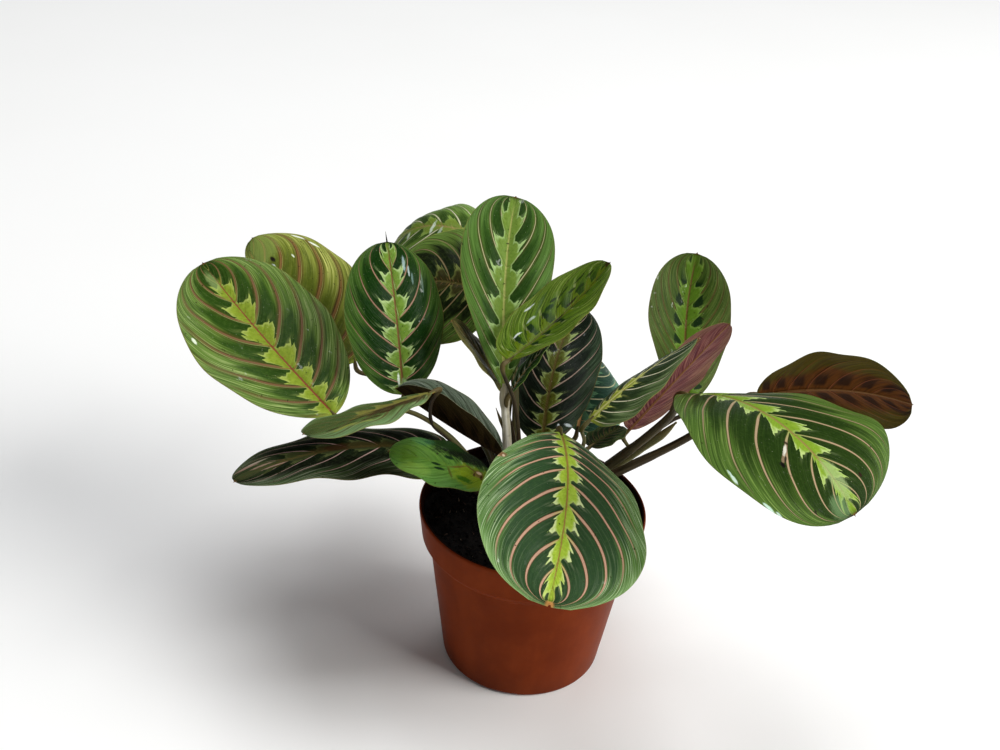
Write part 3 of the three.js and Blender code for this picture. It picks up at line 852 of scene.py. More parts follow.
def blade_mesh(name, shape):
    """A thin closed blade: its upper skin, then its lower skin, then the edge between them."""
    across, top, low, notes = blade_skins(shape)
    rows, columns = top.shape[:2]
    count = rows * columns
    grid = np.arange(count).reshape(rows, columns)
    a, b = grid[:-1, :-1].ravel(), grid[:-1, 1:].ravel()
    c, d = grid[1:, :-1].ravel(), grid[1:, 1:].ravel()
    upper = np.stack([a, b, d, c], -1)
    lower = np.stack([a, c, d, b], -1) + count
    rim = np.concatenate([grid[0, :-1], grid[:-1, -1], grid[-1, :0:-1], grid[:0:-1, 0]])
    after = np.roll(rim, -1)
    edge = np.stack([rim, rim + count, after + count, after], -1)
    faces = np.concatenate([upper, lower, edge])
    points = np.concatenate([top.reshape(-1, 3), low.reshape(-1, 3)]) / 1000

    mesh = bpy.data.meshes.new(name)
    mesh.vertices.add(2 * count)
    mesh.vertices.foreach_set("co", points.ravel())
    mesh.loops.add(faces.size)
    mesh.loops.foreach_set("vertex_index", faces.ravel().astype(np.int32))
    mesh.polygons.add(len(faces))
    mesh.polygons.foreach_set("loop_start", np.arange(0, faces.size, 4, dtype=np.int32))
    mesh.polygons.foreach_set("loop_total", np.full(len(faces), 4, np.int32))
    mesh.update(calc_edges=True)
    for label, numbers in notes.items():
        both = np.concatenate([numbers.reshape(-1, 3)] * 2).astype(np.float32)
        layer = mesh.attributes.new(label, "FLOAT_VECTOR", "POINT")
        layer.data.foreach_set("vector", both.ravel())

    # The map for baking: the upper skin above, the lower one below, the edge in a thin strip
    along = notes["course"][..., 2]
    u = 0.01 + 0.98 * along / (1 + point_share(shape))
    v = 0.5 + 0.5 * across[None] + 0 * along
    skins = np.stack([np.stack([u, low_edge + 0.48 * v], -1) for low_edge in (0.51, 0.01)])
    corners = skins.reshape(-1, 2)[faces.ravel()]
    strip = np.linspace(0.01, 0.99, len(edge) + 1)
    strip_corners = [
        (strip[:-1], 0.503), (strip[:-1], 0.497), (strip[1:], 0.497), (strip[1:], 0.503)]
    strip_map = np.stack([np.stack([x, 0 * x + y], -1) for x, y in strip_corners], 1)
    corners[-4 * len(edge):] = strip_map.reshape(-1, 2)
    layer = mesh.uv_layers.new(name="OFBake")
    layer.uv.foreach_set("vector", corners.astype(np.float32).ravel())
    mesh.validate()
    slots = np.repeat([0, 1, 0], [len(upper), len(lower), len(edge)])
    mesh.polygons.foreach_set("material_index", slots.astype(np.int32))
    return mesh


# How a blade's finish reads the mesh. "course" holds the veins passed, the lobes passed and
# the place along the midrib. "spot" holds the millimetres from the stalk and from the midrib,
# and the share of the way to the edge.

vein_warp = 0.16
vein_spread = 0.8
grain_shift = 7.3


def streaks(start, veins, share, scale, drift):
    """Fine lines that run along the veins."""
    return start.vector(veins * scale, share * 2.2, drift).cloud(1, 2.5, 0.6)


def upper_skin(name, look, seed):
    """The patterned upper side of a blade."""
    material, start = new_finish(name)
    veins, lobes, along = start.stored("course").parts()
    length, signed, share = start.stored("spot").parts()
    out = signed.size()
    side = signed.rise(-0.01, 0.01)
    own = start.vector(length, signed, seed * grain_shift)

    warp = (own.cloud(0.045, 1) - 0.5) * vein_warp
    veins = veins + warp
    lobes = lobes + warp
    fine = streaks(start, veins, share, 6, seed)
    hair = streaks(start, veins, share, 15, seed + 4)
    patch = own.cloud(0.06, 2)
    grain = own.cloud(0.5, 3, 0.6)
    jag = own.cloud(0.75, 2, 0.6) - 0.5
    rough = own.cloud(0.25, 2, 0.6) - 0.5

    # Veins: a pink line with a dark border, a pale line on its stalk side and a brown tinge
    from_vein = (veins + 0.5).fraction() - 0.5
    near = from_vein.size()
    stray = near + (hair - 0.5) * 0.016
    swelling = share.rise(0.0, 0.22) * 0.6 + 0.4
    width = (1.05 - share * look["vein_taper"]) * swelling * look["vein_width"]
    faded = (share + (fine - 0.5) * 0.24).fall(look["vein_end"] - 0.16, look["vein_end"])
    faded = faded * along.rise(0.0, 0.05)
    line = (stray - width).fall(-0.010, 0.012) * faded
    border = (stray - width).fall(0.012, 0.034) * faded
    edge_line = (from_vein + width + 0.022).size().fall(0.008, 0.024)
    tinge = (near - width).fall(0.0, 0.2) * share.rise(0.12, 0.45) * share.fall(0.85, 1.0)

    # Lobes: each starts at a vein and ends in a toothed edge before the next one
    passed = lobes.whole()
    chance = start.node("TexWhiteNoise", {"noise_dimensions": "2D"}, {
        "Vector": start.vector(passed + seed, side * 5, 0)})
    f = lobes.fraction()
    middle = 1 - (along - 0.42) * (along - 0.42) * look["lobe_taper"]
    reach = middle * look["lobe"] * (chance * 0.3 + 0.85)
    band = look["band"] * (1.1 + along * look["band_tip"])
    outward = ((out - band) / reach).most(0).least(1)
    teeth = (f * look["teeth"] + chance * 3 + rough * 0.5).fraction() * look["tooth"]
    opened = (f / look["lobe_peak"]).least(1)
    opened = opened * (opened * look["hollow"] + (1 - look["hollow"]))
    front = look["lobe_front"] - look["lobe_slant"]
    corner = f.rise(front - 0.3, front) * look["corner"]
    behind = band + opened * reach + teeth * (opened + 0.2) + corner
    behind = behind + jag * 0.15 + rough * 0.7 - out
    notch = ((out * 0.27 + chance * 5).fraction() - 0.5).size() * look["notch"]
    drop = look["lobe_front"] - outward * look["lobe_slant"] - notch + rough * 0.1
    before = (drop - f) * look["spacing"] * vein_spread + jag * 0.12
    beside = (veins - passed) * look["spacing"] * vein_spread + 0.5
    inside = behind.least(before).least(beside).most(band + jag * 0.5 - out)
    kept = (along + rough * 0.03).fall(look["lime_end"], look["lime_end"] + 0.04)
    lime = inside.rise(-0.18, 0.22) * kept
    lime_edge = inside.fall(0.2, 1.0) * lime
    lobe_tip = outward.rise(0.6, 1.15) * behind.least(before).fall(0.4, 2.6) * lime
    lobe_tip = lobe_tip * (1 - along.rise(0.8, 0.9) * 0.7)
    past = out - band - reach - look["corner"]
    spray = past.fall(0.0, 7.0) * (f - front + 0.02).size().rise(0.1, 0.03)
    spray = spray * hair.rise(0.42, 0.56) * out.rise(1.0, 3.0) * kept * look["spray"]

    # Ground: dark tongues between the veins near the midrib, streaked and lighter outside
    tongue = look["dark_reach"] + (near - 0.25) * 0.6 + (fine - 0.5) * 0.4 + (patch - 0.5) * 0.2
    dark = (share - tongue).fall(-0.12, 0.12)
    dark = dark * (near - width).rise(0.0, look["dark_gap"])
    deep = (out - band - reach).fall(-3, 9) * dark
    outer = (share + (fine - 0.5) * 0.3 + (patch - 0.5) * 0.3).rise(0.35, 1.0)
    lines = hair.rise(0.5, 0.68) * (outer * 0.85 + 0.15) * (1 - dark * 0.75)

    # Blotches: near black ones ahead of the lobes, and short dashes beside the midrib
    ahead = (f - look["lobe_front"] + look["lobe_slant"] - 0.1 + 0.5).fraction() - 0.5
    ahead = ahead * look["spacing"] / look["blotch_long"]
    beyond = (out - band - reach * 0.9) / look["blotch_wide"]
    blotch = (ahead * ahead + beyond * beyond) + jag * 0.9 + (fine - 0.5) * 1.6
    blotch = blotch.fall(0.75, 1.05) * look["blotches"] * near.rise(0.03, 0.08) * kept
    between = (f - 0.62) * look["spacing"] / 2.2
    dash = out - look["band"] * 0.9
    dash = between * between + dash * dash + jag * 1.2 + rough * 1.5
    blotch = blotch.most(dash.fall(0.5, 0.9) * look["dashes"] * kept)
    blotch = blotch * along.rise(look["blotch_from"] - 0.02, look["blotch_from"])
    blotch = blotch * along.fall(look["blotch_to"], look["blotch_to"] + 0.02)

    base = start.mix(outer, look["green"], look["margin"])
    base = start.mix(fine.rise(0.56, 0.34) * look["streak"], base, look["dark"])
    base = start.mix(dark * look["dark_strength"], base, look["dark"])
    base = start.mix(deep * look["deep"], base, look["blotch"])
    base = start.mix(lines * look["lines"], base, look["pale"])
    base = start.mix(grain.rise(0.42, 0.75) * 0.14, base, look["margin"])
    base = start.mix(tinge * look["tinge"], base, look["vein_edge"])
    base = start.mix(blotch, base, look["blotch"])
    base = start.mix(edge_line * faded * look["edge_line"], base, look["pale"])
    base = start.mix(border * look["border"], base, look["vein_edge"])
    vein_tone = start.mix(share.rise(0.6, 0.95) * 0.6, look["vein"], look["margin"])
    vein_tone = start.mix(share.fall(0.03, 0.2) * 0.5, vein_tone, look["lime"])
    base = start.mix(line * look["vein_strength"], base, vein_tone)

    # The lime of the lobes: deeper near the midrib, with branched lines and pale tips
    lime_tone = start.mix(grain.rise(0.35, 0.7), look["lime"], look["lime_deep"])
    lime_tone = start.mix((1 - outward) * 0.5, lime_tone, look["lime_deep"])
    lime_tone = start.mix(fine.rise(0.4, 0.65) * 0.35, lime_tone, look["lime_deep"])
    lime_tone = start.mix(lime_edge * look["lime_edge"], lime_tone, look["lime_tip"])
    lime_tone = start.mix(lobe_tip * look["lobe_tips"], lime_tone, look["lime_tip"])
    branch = (near + jag * 0.02).fall(0.012, 0.035) * out.fall(1.0, look["lobe"] + 3)
    twig = ((veins * 3 + jag * 0.4).fraction() - 0.5).size().fall(0.03, 0.09)
    branch = branch.most(twig * 0.6 * out.fall(0.8, look["lobe"] * 0.6))
    lime_tone = start.mix(branch * look["branch_strength"], lime_tone, look["branch"])
    base = start.mix(spray, base, look["lime_tip"])
    base = start.mix(lime, base, lime_tone)

    # Midrib, edge and tip, then specks of soil and dust
    rib_width = (1 - along * 0.6) * look["rib_width"]
    rib = (out - rib_width + jag * 0.5).fall(-0.22, 0.25)
    rib = rib * along.fall(look["rib_end"] - 0.12, look["rib_end"]) * look["rib_strength"]
    base = start.mix(rib, base, look["rib"])
    base = start.mix(along.rise(0.06, 0.0) * 0.7, base, look["lime"])
    base = start.mix(share.rise(0.972, 1.0) * 0.6, base, look["rim"])
    # A painted highlight along the turned-up lip of the edge near the tip
    lip = (share + (hair - 0.5) * 0.1).rise(0.86, 0.98) * along.rise(0.72, 0.84)
    base = start.mix(lip * look["lip_highlight_strength"], base, look["lip"])
    tip_spot = (along + jag * 0.004).rise(0.988, 0.998) * (out + rough * 1.5).fall(0.8, 2.6)
    base = start.mix(tip_spot, base, look["tip"])
    specks = own.cloud(0.5, 1, 0.5).rise(0.735, 0.755)
    base = start.mix(specks * 0.75, base, colour(36, 28, 14))
    dust = own.cloud(1.3, 1, 0.4).rise(0.74, 0.8)
    base = start.mix(dust * 0.3, base, colour(186, 190, 160))

    # Marks that this blade alone has, such as a scar, a dry scrap, a painted highlight standing
    # for a wet glint, or a painted shadow. Each is a ragged oval: its place along and across,
    # half its length and width, its strength and tone and, for some, its turn from the midrib in
    # degrees
    ragged = (jag + rough) * 0.9 + (hair - 0.5) * 1.4
    for along_mark, side_mark, long, wide, strength, tone, *turned in look["marks"]:
        angle = math.radians(turned[0] if turned else 0)
        ahead = length - along_mark
        beside = signed - side_mark
        far = (ahead * math.cos(angle) + beside * math.sin(angle)) / long
        aside = (beside * math.cos(angle) - ahead * math.sin(angle)) / wide
        mark = (far * far + aside * aside + ragged).fall(0.3, 1.15)
        base = start.mix(mark * strength, base, colour(*tone))

    drops = start.vector(length * 0.1, signed * 0.16, seed).cloud(1, 3, 0.7)
    drops = drops.rise(0.64, 0.68) * look["wet"]
    wet = (drops + look["gloss"]).least(1)
    roughness = look["rough"] + (hair - 0.5) * 0.14 + (patch - 0.5) * 0.1 - drops * 0.12
    relief = (1 - border) * 0.5 + hair * 0.7 + fine * 1.1 + grain * 0.25 - rib * 0.3
    cover(start, base, roughness, relief, 0.0005, wet, Specular_IOR_Level=look["shine"])
    return material


def lower_skin(name, look, seed):
    """The plainer underside, with raised veins."""
    material, start = new_finish(name)
    veins, lobes, along = start.stored("course").parts()
    length, signed, share = start.stored("spot").parts()
    out = signed.size()
    own = start.vector(length, signed, seed * grain_shift)
    warp = own.cloud(0.045, 1) - 0.5
    veins = veins + warp * vein_warp
    fine = streaks(start, veins, share, 7, seed)
    hair = streaks(start, veins, share, 16, seed + 4)
    patch = own.cloud(0.05, 3, 0.6)
    near = ((veins + 0.5).fraction() - 0.5).size()
    line = near.fall(0.015, 0.05) * share.fall(0.6, 0.9) * along.rise(0.0, 0.08)
    f = (lobes + warp * vein_warp).fraction()
    shade = f.rise(0.15, 0.4) * f.fall(0.72, 0.9) * (out - 4).fall(4.0, 12.0)
    shade = shade * out.rise(2.0, 4.5)
    spread = (patch + (share - 0.5) * look["under_spread"]).rise(0.35, 0.75)
    base = start.mix(spread, look["under"], look["under_edge"])
    base = start.mix(hair.rise(0.35, 0.8) * look["under_streak"], base, look["under_pale"])
    base = start.mix(fine.rise(0.6, 0.35) * look["under_streak"], base, look["under_dark"])
    base = start.mix(shade * look["under_blotch"], base, look["under_dark"])
    base = start.mix(line * look["under_vein_strength"], base, look["under_vein"])
    rib = (out - (1 - along * 0.6) * 1.1).fall(-0.2, 0.4)
    base = start.mix(rib * 0.8, base, look["under_rib"])
    base = start.mix(along.rise(0.985, 1.005), base, look["tip"])
    relief = line * 0.7 + hair * 0.5 + fine * 0.4 + rib
    cover(start, base, 0.5 + (hair - 0.5) * 0.15, relief, 0.0004, Specular_IOR_Level=0.03)
    return material


# The look that a blade has where it sets nothing else. Colours go from 0 to 255, and sizes
# are in millimetres, or in shares of the step from one vein to the next.

common_look = dict(
    # ground and blotches
    green=(70, 100, 34), margin=(92, 124, 50), pale=(146, 168, 98), dark=(34, 58, 14),
    dark_reach=0.6, dark_strength=0.95, dark_gap=0.06, deep=0.35, streak=0.6, lines=0.6,
    blotch=(14, 30, 6), blotches=0.0, blotch_long=4.0, blotch_wide=2.6, blotch_from=-1.0,
    blotch_to=2.0, dashes=0.0,
    # veins
    vein=(184, 146, 122), vein_edge=(84, 46, 36), vein_width=0.066, vein_taper=0.5,
    vein_end=1.0, vein_strength=1.0, border=0.6, tinge=0.0, edge_line=0.0,
    # lime band and lobes
    lime=(150, 174, 66), lime_deep=(118, 142, 38), lime_tip=(206, 218, 150), lime_edge=0.35,
    lime_end=0.97, lobe=6.5, lobe_taper=2.1, lobe_peak=0.45, lobe_front=0.95, lobe_slant=0.22,
    lobe_tips=0.7, band=2.6, band_tip=-0.35, teeth=3.2, tooth=1.7, corner=1.4, notch=0.14,
    hollow=0.45, spray=0.35, branch=(140, 88, 60), branch_strength=0.5,
    # midrib, edge, tip, the painted highlight of a turned-up lip, and marks
    rib=(150, 108, 70), rib_width=0.9, rib_end=0.98, rib_strength=1.0, rim=(112, 100, 50),
    tip=(104, 74, 36), lip=(138, 168, 124), lip_highlight_strength=0.0, marks=[],
    # sheen
    rough=0.4, gloss=0.02, wet=0.6, shine=0.05,
    # underside
    under=(84, 38, 22), under_edge=(92, 60, 20), under_pale=(120, 84, 56),
    under_dark=(44, 20, 8), under_spread=1.0, under_streak=0.33, under_blotch=0.7,
    under_vein=(140, 90, 62), under_vein_strength=0.5, under_rib=(120, 84, 48))
blade_seeds = itertools.count(1)


def add_blade(name, slot, look, wedge=0, swell=1.0, veins=9, starts=(0.2, 0.25),
              shade=(1, 1, 1), **shape):
    """A blade in place of the node of the same name.

    Its foot is at a place in millimetres. Heading and pitch point it from there, and sway
    and bend turn it on the way to its tip. Roll tips it about its midrib, fold lifts its
    halves and curl rounds them, all in degrees. It is broadest at widest, a share of its
    length. Starts says how far into a step the first vein of each side is, and shade how
    much lighter its colours are than its look says: it scales them to stand in for the
    light that falls on this blade, which paints light and shade into its colours.
    """
    seed = next(blade_seeds)
    shape.update(wedge=wedge, swell=swell, veins=veins, starts=starts, seed=seed)
    full_look = {**common_look, **look, "spacing": shape["length"] / veins}
    # Shade scales each colour of the look: painted light and shade for this blade
    for key, tone in full_look.items():
        if isinstance(tone, tuple):
            full_look[key] = (*(min(1, a * b) for a, b in zip(colour(*tone), shade)), 1)
    top = upper_skin(name + "_upper", full_look, seed)
    under = lower_skin(name + "_under", full_look, seed)
    blade = new_piece(name + "_blade", blade_mesh(name + "_blade", shape), top, under)
    smooth(blade, 50)
    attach(blade, "root")
    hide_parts(name)
    return shape


# Leaves of the left stems
# The two broad leaves at the far left, the upright one before them, the low dark one, two
# small young ones and one whose halves are folded together.

olive_look = dict(
    green=(92, 122, 44), margin=(98, 126, 56), pale=(160, 178, 108), dark=(34, 62, 8),
    dark_reach=0.5, streak=0.8, lines=1.3, vein=(114, 86, 56), vein_edge=(80, 50, 28),
    vein_width=0.052, vein_taper=0.3, border=0.7, tinge=0.6, edge_line=0.8, lime=(140, 158, 52),
    lime_deep=(112, 132, 36), lime_tip=(176, 188, 108), lime_end=0.86, lobe=5.8, lobe_taper=3.0,
    lobe_peak=0.35, lobe_tips=0.4, band=1.7, teeth=2.6, tooth=2.4, spray=0.15,
    branch=(132, 70, 44), branch_strength=0.8, rib=(128, 66, 44), rib_width=0.6, shine=0.04)
far_left = add_blade(
    "leaf_far_left", "leaf_green", dict(
        olive_look,
        marks=[
            (100, -2.6, 8, 3.2, 0.5, (142, 164, 100)),
            # The second mark is a painted highlight
            (74.5, -33.7, 2.4, 0.9, 0.9, (226, 236, 214))]),
    at=(-105, -4, 143), heading=141, pitch=19, length=112, width=78, widest=0.56, bend=-17,
    sway=7, roll=9, fold=10, curl=-14, wave=1.2, veins=8.67, starts=(0.11, 0.02),
    stalk=[(-28, -6, 116), (-47, -3, 137), (-68, 1, 146), (-86, 4, 141)], thick=1.7, tone=0.38)
left_behind = add_blade(
    "leaf_left_behind", "leaf_green", dict(
        olive_look, green=(104, 114, 38), margin=(126, 134, 60), pale=(178, 180, 100),
        dark=(58, 70, 14), dark_reach=0.42, dark_strength=0.7, vein=(112, 84, 46),
        vein_edge=(72, 44, 22), vein_width=0.055, border=1.0, tinge=0.9, lime_end=0.3,
        marks=[
            (86, 8, 12, 16, 0.45, (132, 152, 78)), (75.1, 10.1, 2.4, 1.8, 1.0, (24, 18, 12)),
            (69.9, 7.6, 3.4, 1.3, 1.0, (170, 184, 176)),
            # The last three marks are painted highlights along the top edge
            (79, 38.5, 5.5, 1.0, 0.9, (236, 242, 226), 135),
            (70, 45, 4.5, 0.9, 0.9, (236, 242, 226), 145),
            (70, 24, 1.4, 0.8, 0.8, (226, 236, 216))]),
    shade=(1.2, 1.2, 1.2), at=(-107, 68, 132), heading=152, pitch=70, length=96, width=67,
    widest=0.47, midrib=-0.75, bend=69, sway=7, roll=2, fold=4, curl=-20, wave=1,
    starts=(0.1, 0.5),
    stalk=[(-30, 26, 114), (-60, 44, 134), (-89, 62, 127)], thick=1.6, tone=0.3)
left_upright = add_blade(
    "leaf_left_upright", "leaf_dark", dict(
        green=(50, 80, 24), margin=(70, 102, 38), pale=(122, 150, 84), dark=(14, 46, 8),
        dark_reach=0.68, vein=(158, 124, 102), vein_width=0.036, lime=(122, 154, 62),
        lime_deep=(94, 126, 42), lime_tip=(176, 200, 136), lime_edge=0.7, lobe=4.6, lobe_peak=0.3,
        band=1.3, teeth=2.6, tooth=2.2, corner=1.0, branch=(124, 78, 50), branch_strength=0.85,
        rib=(118, 84, 50), rib_width=0.65, tip=(40, 34, 32), rough=0.26, gloss=0.015,
        marks=[
            # All its marks are painted highlights: glints towards the tip and a wet one at the
            # foot
            (68, 7.0, 4.6, 1.0, 0.75, (160, 186, 186)), (64, 9.2, 3.2, 0.6, 0.8, (190, 208, 204)),
            (60, 10.6, 4.0, 0.6, 0.6, (120, 150, 144)), (57, 16, 7.0, 0.6, 0.5, (130, 156, 140)),
            (4, 1, 5.0, 2.4, 0.8, (150, 186, 120)), (8, -2, 4.0, 0.8, 0.9, (226, 238, 220))]),
    at=(-72, 12, 149), heading=113, pitch=68, length=81, width=54, widest=0.51, point=6, bend=30,
    sway=-4, roll=-5, fold=6, curl=-26, wave=1, veins=7.6, starts=(0.98, 0.15), crowd=0.2,
    stalk=[(-30, 17, 126), (-58, 18, 141)], thick=1.5, tone=0.25)
low_left = add_blade(
    "leaf_low_left", "leaf_dark", dict(
        green=(20, 24, 10), margin=(56, 70, 38), pale=(160, 160, 130), dark=(4, 6, 1),
        vein=(152, 124, 110), vein_width=0.024, vein_end=0.92, lime=(52, 56, 24),
        lime_deep=(38, 42, 18), lime_tip=(72, 76, 40), lobe=4, rib=(66, 60, 28), rib_width=1.7,
        rough=0.8, gloss=0.0, wet=0.0, shine=0.02,
        marks=[
            (50, 1.5, 30, 4.5, 0.6, (58, 46, 20)), (60, 2, 7, 4, 0.6, (52, 24, 14)),
            (104, 4, 14, 11, 0.5, (70, 82, 50)), (106.3, 6.5, 7, 1.0, 0.7, (174, 140, 124)),
            (94.2, -1.8, 8, 1.1, 0.8, (180, 146, 128)), (99, 2.6, 7, 0.8, 0.7, (170, 140, 120)),
            (100, 7.4, 7, 0.7, 0.6, (196, 178, 160))]),
    shade=(1.5, 1.6, 1.85), at=(-45.6, 8, 119), heading=187, pitch=9, length=116, width=68,
    widest=0.28, bend=17, sway=37, roll=-11, fold=6, curl=-21, wave=1.5,
    stalk=[(-32, 0, 102)], thick=1.7, tone=0.2)
left_small = add_blade(
    "leaf_left_small", "leaf_green", dict(
        green=(92, 108, 58), margin=(88, 112, 72), pale=(130, 144, 92), dark=(62, 76, 36),
        streak=0.9, lines=0.9, vein=(84, 70, 40), vein_edge=(60, 44, 24), vein_width=0.04,
        tinge=0.3, lime=(108, 108, 48), lime_deep=(90, 86, 38), lime_tip=(96, 100, 56),
        lime_end=0.6, lobe=3, band=1.6, rib=(112, 104, 52), rib_strength=0.3,
        marks=[
            (30, -4.6, 27, 5.0, 0.85, (66, 46, 30)), (35.6, -9.1, 7, 0.9, 0.9, (58, 36, 22)),
            (44, -11.8, 6, 1.0, 0.9, (58, 38, 20)), (25.4, -5.2, 8, 1.1, 0.9, (64, 38, 26)),
            (30, -1, 12, 0.8, 0.9, (56, 34, 22)), (54.8, -11.3, 4, 0.8, 0.9, (44, 40, 14)),
            (62.9, -10.5, 4, 0.7, 0.9, (44, 44, 16)), (48, -7, 5, 0.7, 0.9, (54, 38, 18)),
            (58.2, -13.7, 7, 1.4, 0.6, (156, 158, 74)), (50, -15.6, 6, 1.2, 0.6, (160, 166, 84)),
            (46, -4, 8, 1.2, 0.5, (150, 152, 70))]),
    shade=(1.55, 1.62, 1.7), at=(-54.9, -4.7, 162.9), heading=229, pitch=5, length=74, width=47,
    widest=0.68, bend=12, sway=-16, roll=-22, fold=6, curl=-19, wave=1.2,
    stalk=[(-28, -6, 116), (-45, -4, 134), (-55, -2, 142), (-56, 0, 153)], thick=1.1, tone=0.05)
soil_young = add_blade(
    "leaf_soil_young", "leaf_green", dict(
        green=(92, 130, 50), margin=(92, 140, 62), pale=(124, 158, 92), dark=(58, 98, 34),
        dark_reach=0.1, dark_strength=0.2, deep=0.0, vein=(66, 104, 36), vein_edge=(58, 96, 30),
        vein_strength=0.5, border=0.2, lime=(120, 140, 36), lime_deep=(104, 130, 30),
        lime_edge=0.0, lime_end=0.3, lobe=2.6, lobe_tips=0.0, band=1.6, rib=(96, 126, 46),
        rib_strength=0.35,
        marks=[
            # The first two marks are painted shadow cast by the leaf above
            (14, 12.0, 24, 9.0, 0.97, (5, 8, 3)), (27, 12.8, 12, 4, 0.8, (26, 50, 14)),
            (38, 12, 7, 5, 0.4, (60, 112, 76)), (42, -2, 5, 9, 0.6, (66, 96, 14)),
            (38, -9, 9, 5, 0.4, (126, 158, 64)), (11, -3.4, 11, 8, 0.8, (112, 132, 22)),
            (13.7, -6.4, 4.5, 1.9, 0.9, (42, 88, 8)), (23.1, 4.5, 3.0, 1.3, 1.0, (12, 36, 12)),
            (28.5, -1.7, 2.9, 1.2, 1.0, (12, 36, 12)), (26.5, -4.5, 2.8, 1.1, 1.0, (12, 34, 12)),
            (21.3, -5, 0.7, 4.4, 0.8, (72, 66, 22), -24),
            (18, 1.0, 6, 0.6, 0.8, (90, 70, 28), -24), (11, 2.4, 5, 0.5, 0.8, (84, 62, 26), 20),
            (7.4, 0.7, 3.4, 2.6, 0.8, (112, 88, 48)), (7.0, 1.6, 1.6, 0.8, 1.0, (204, 178, 142)),
            (5.4, -0.8, 0.9, 2.2, 0.9, (58, 38, 14)), (9.2, -0.6, 0.6, 1.8, 0.9, (62, 44, 18))]),
    shade=(0.82, 0.85, 0.8), at=(-21, -42, 138), heading=182, pitch=22, length=52, width=30,
    widest=0.5, bend=19, sway=-3, roll=10, fold=8, curl=-15, wave=1,
    stalk=[(-14, -22, 116)], thick=1.2, tone=0.45)
left_folded = add_blade(
    "leaf_left_folded", "leaf_red", dict(
        # Its colours on both sides are lightened past the leaf's own to stand in for light it
        # lacks: painted light
        green=(150, 168, 142), margin=(156, 174, 150), pale=(228, 234, 222), dark=(92, 108, 90),
        streak=0.8, lines=0.9, vein=(112, 116, 100), vein_edge=(50, 46, 34), lime=(96, 112, 88),
        lime_deep=(84, 100, 78), lime_tip=(124, 142, 118), rib=(70, 76, 58), under=(38, 28, 12),
        under_edge=(50, 42, 18), under_pale=(80, 62, 36), under_dark=(20, 14, 6),
        under_streak=0.6, under_vein=(66, 44, 28), under_rib=(44, 30, 18)),
    at=(-18, 4, 122), heading=174, pitch=24, length=66, width=40, widest=0.58, bend=-10, sway=0,
    roll=8, fold=72, curl=10, wave=0.6,
    stalk=[(-12, 2, 112)], thick=1.5, tone=0.15)
grow_stems("stems_left", (-14, -3), 5.5, [
    far_left, left_behind, left_upright, low_left, left_small, soil_young, left_folded])


# Leaves of the centre stems
# The tall leaf in the middle with the young one before it, and the four behind and beside.

centre_upright = add_blade(
    "leaf_centre_upright", "leaf_green", dict(
        green=(62, 96, 32), margin=(84, 118, 50), pale=(116, 150, 74), dark=(32, 62, 10),
        dark_reach=0.5, dark_strength=0.85, vein=(176, 172, 128), vein_edge=(84, 58, 34),
        vein_width=0.036, tinge=0.35, lime=(120, 146, 62), lime_deep=(98, 126, 44),
        lime_tip=(166, 196, 128), lime_edge=0.6, lobe=3.1, lobe_peak=0.3, lobe_tips=0.9,
        band=2.35, band_tip=0.35, tooth=2.4, corner=1.2, spray=0.2, branch=(140, 128, 76),
        branch_strength=0.3, rib=(150, 156, 84)),
    at=(-20, 10, 159), heading=104, pitch=56, length=105, width=54, widest=0.6, wedge=0.5,
    bend=22, sway=-20, roll=-12, fold=14, curl=-16, wave=1, veins=8.6, starts=(0.42, 0.32),
    crowd=0.15,
    stalk=[(-16, 11, 120)], thick=3.2, tone=0.95)
centre_young = add_blade(
    "leaf_centre_young", "leaf_green", dict(
        green=(74, 104, 22), margin=(84, 112, 32), pale=(150, 172, 84), dark=(46, 74, 12),
        dark_reach=0.2, streak=0.9, lines=0.9, blotch=(22, 46, 14), blotches=1.0, blotch_long=2.4,
        blotch_wide=3.0, blotch_from=0.12, blotch_to=0.45, dashes=1.0, vein=(62, 84, 20),
        # Its pale lines beside the veins are painted highlights on its creases
        vein_edge=(44, 62, 12), vein_width=0.03, edge_line=0.7, lime=(94, 118, 22),
        lime_deep=(84, 108, 18), lime_edge=0.0, lobe=6, lobe_front=0.7, lobe_tips=0.0, band=1.6,
        tooth=1.2, branch_strength=0.3, rib=(78, 74, 22), rib_strength=0.6, rough=0.3, gloss=0.05,
        marks=[
            # The first three marks are painted highlights beside the blotches
            (32.8, -19.7, 3.8, 0.8, 0.9, (226, 236, 228)),
            (15.2, -9.6, 3.2, 0.8, 0.9, (232, 240, 232)),
            (26.9, -11.5, 3.4, 1.0, 0.7, (200, 218, 200)),
            (36.8, -9.5, 4.0, 1.6, 0.9, (24, 52, 22)), (46.8, -2.1, 4.4, 0.7, 0.9, (44, 40, 12)),
            (35, -0.3, 4, 0.7, 0.9, (36, 34, 12)), (59.4, -9.6, 4.4, 0.7, 0.9, (34, 54, 14)),
            (48.9, -10.9, 4.4, 0.7, 0.9, (30, 50, 14)), (55, -4.6, 4.4, 0.8, 0.9, (36, 56, 14)),
            (52, -7.6, 3.4, 0.7, 0.9, (32, 52, 14)), (64, -6.0, 3.4, 0.7, 0.9, (40, 58, 16)),
            (42, -6.4, 2.4, 0.8, 0.9, (30, 50, 14)), (42, -11.8, 3.0, 0.8, 0.9, (28, 48, 14)),
            (73, 0, 2.4, 2.2, 0.9, (64, 50, 20))]),
    shade=(1.35, 1.25, 1.25), at=(-18, -8, 187), heading=51, pitch=14, length=74, width=51,
    widest=0.47, bend=-36, sway=-14, roll=17, fold=14, curl=-1, wave=0.8, swell=3.0,
    stalk=[(-10, 7, 122), (-14, -6, 162)], thick=1.3, tone=0.2)
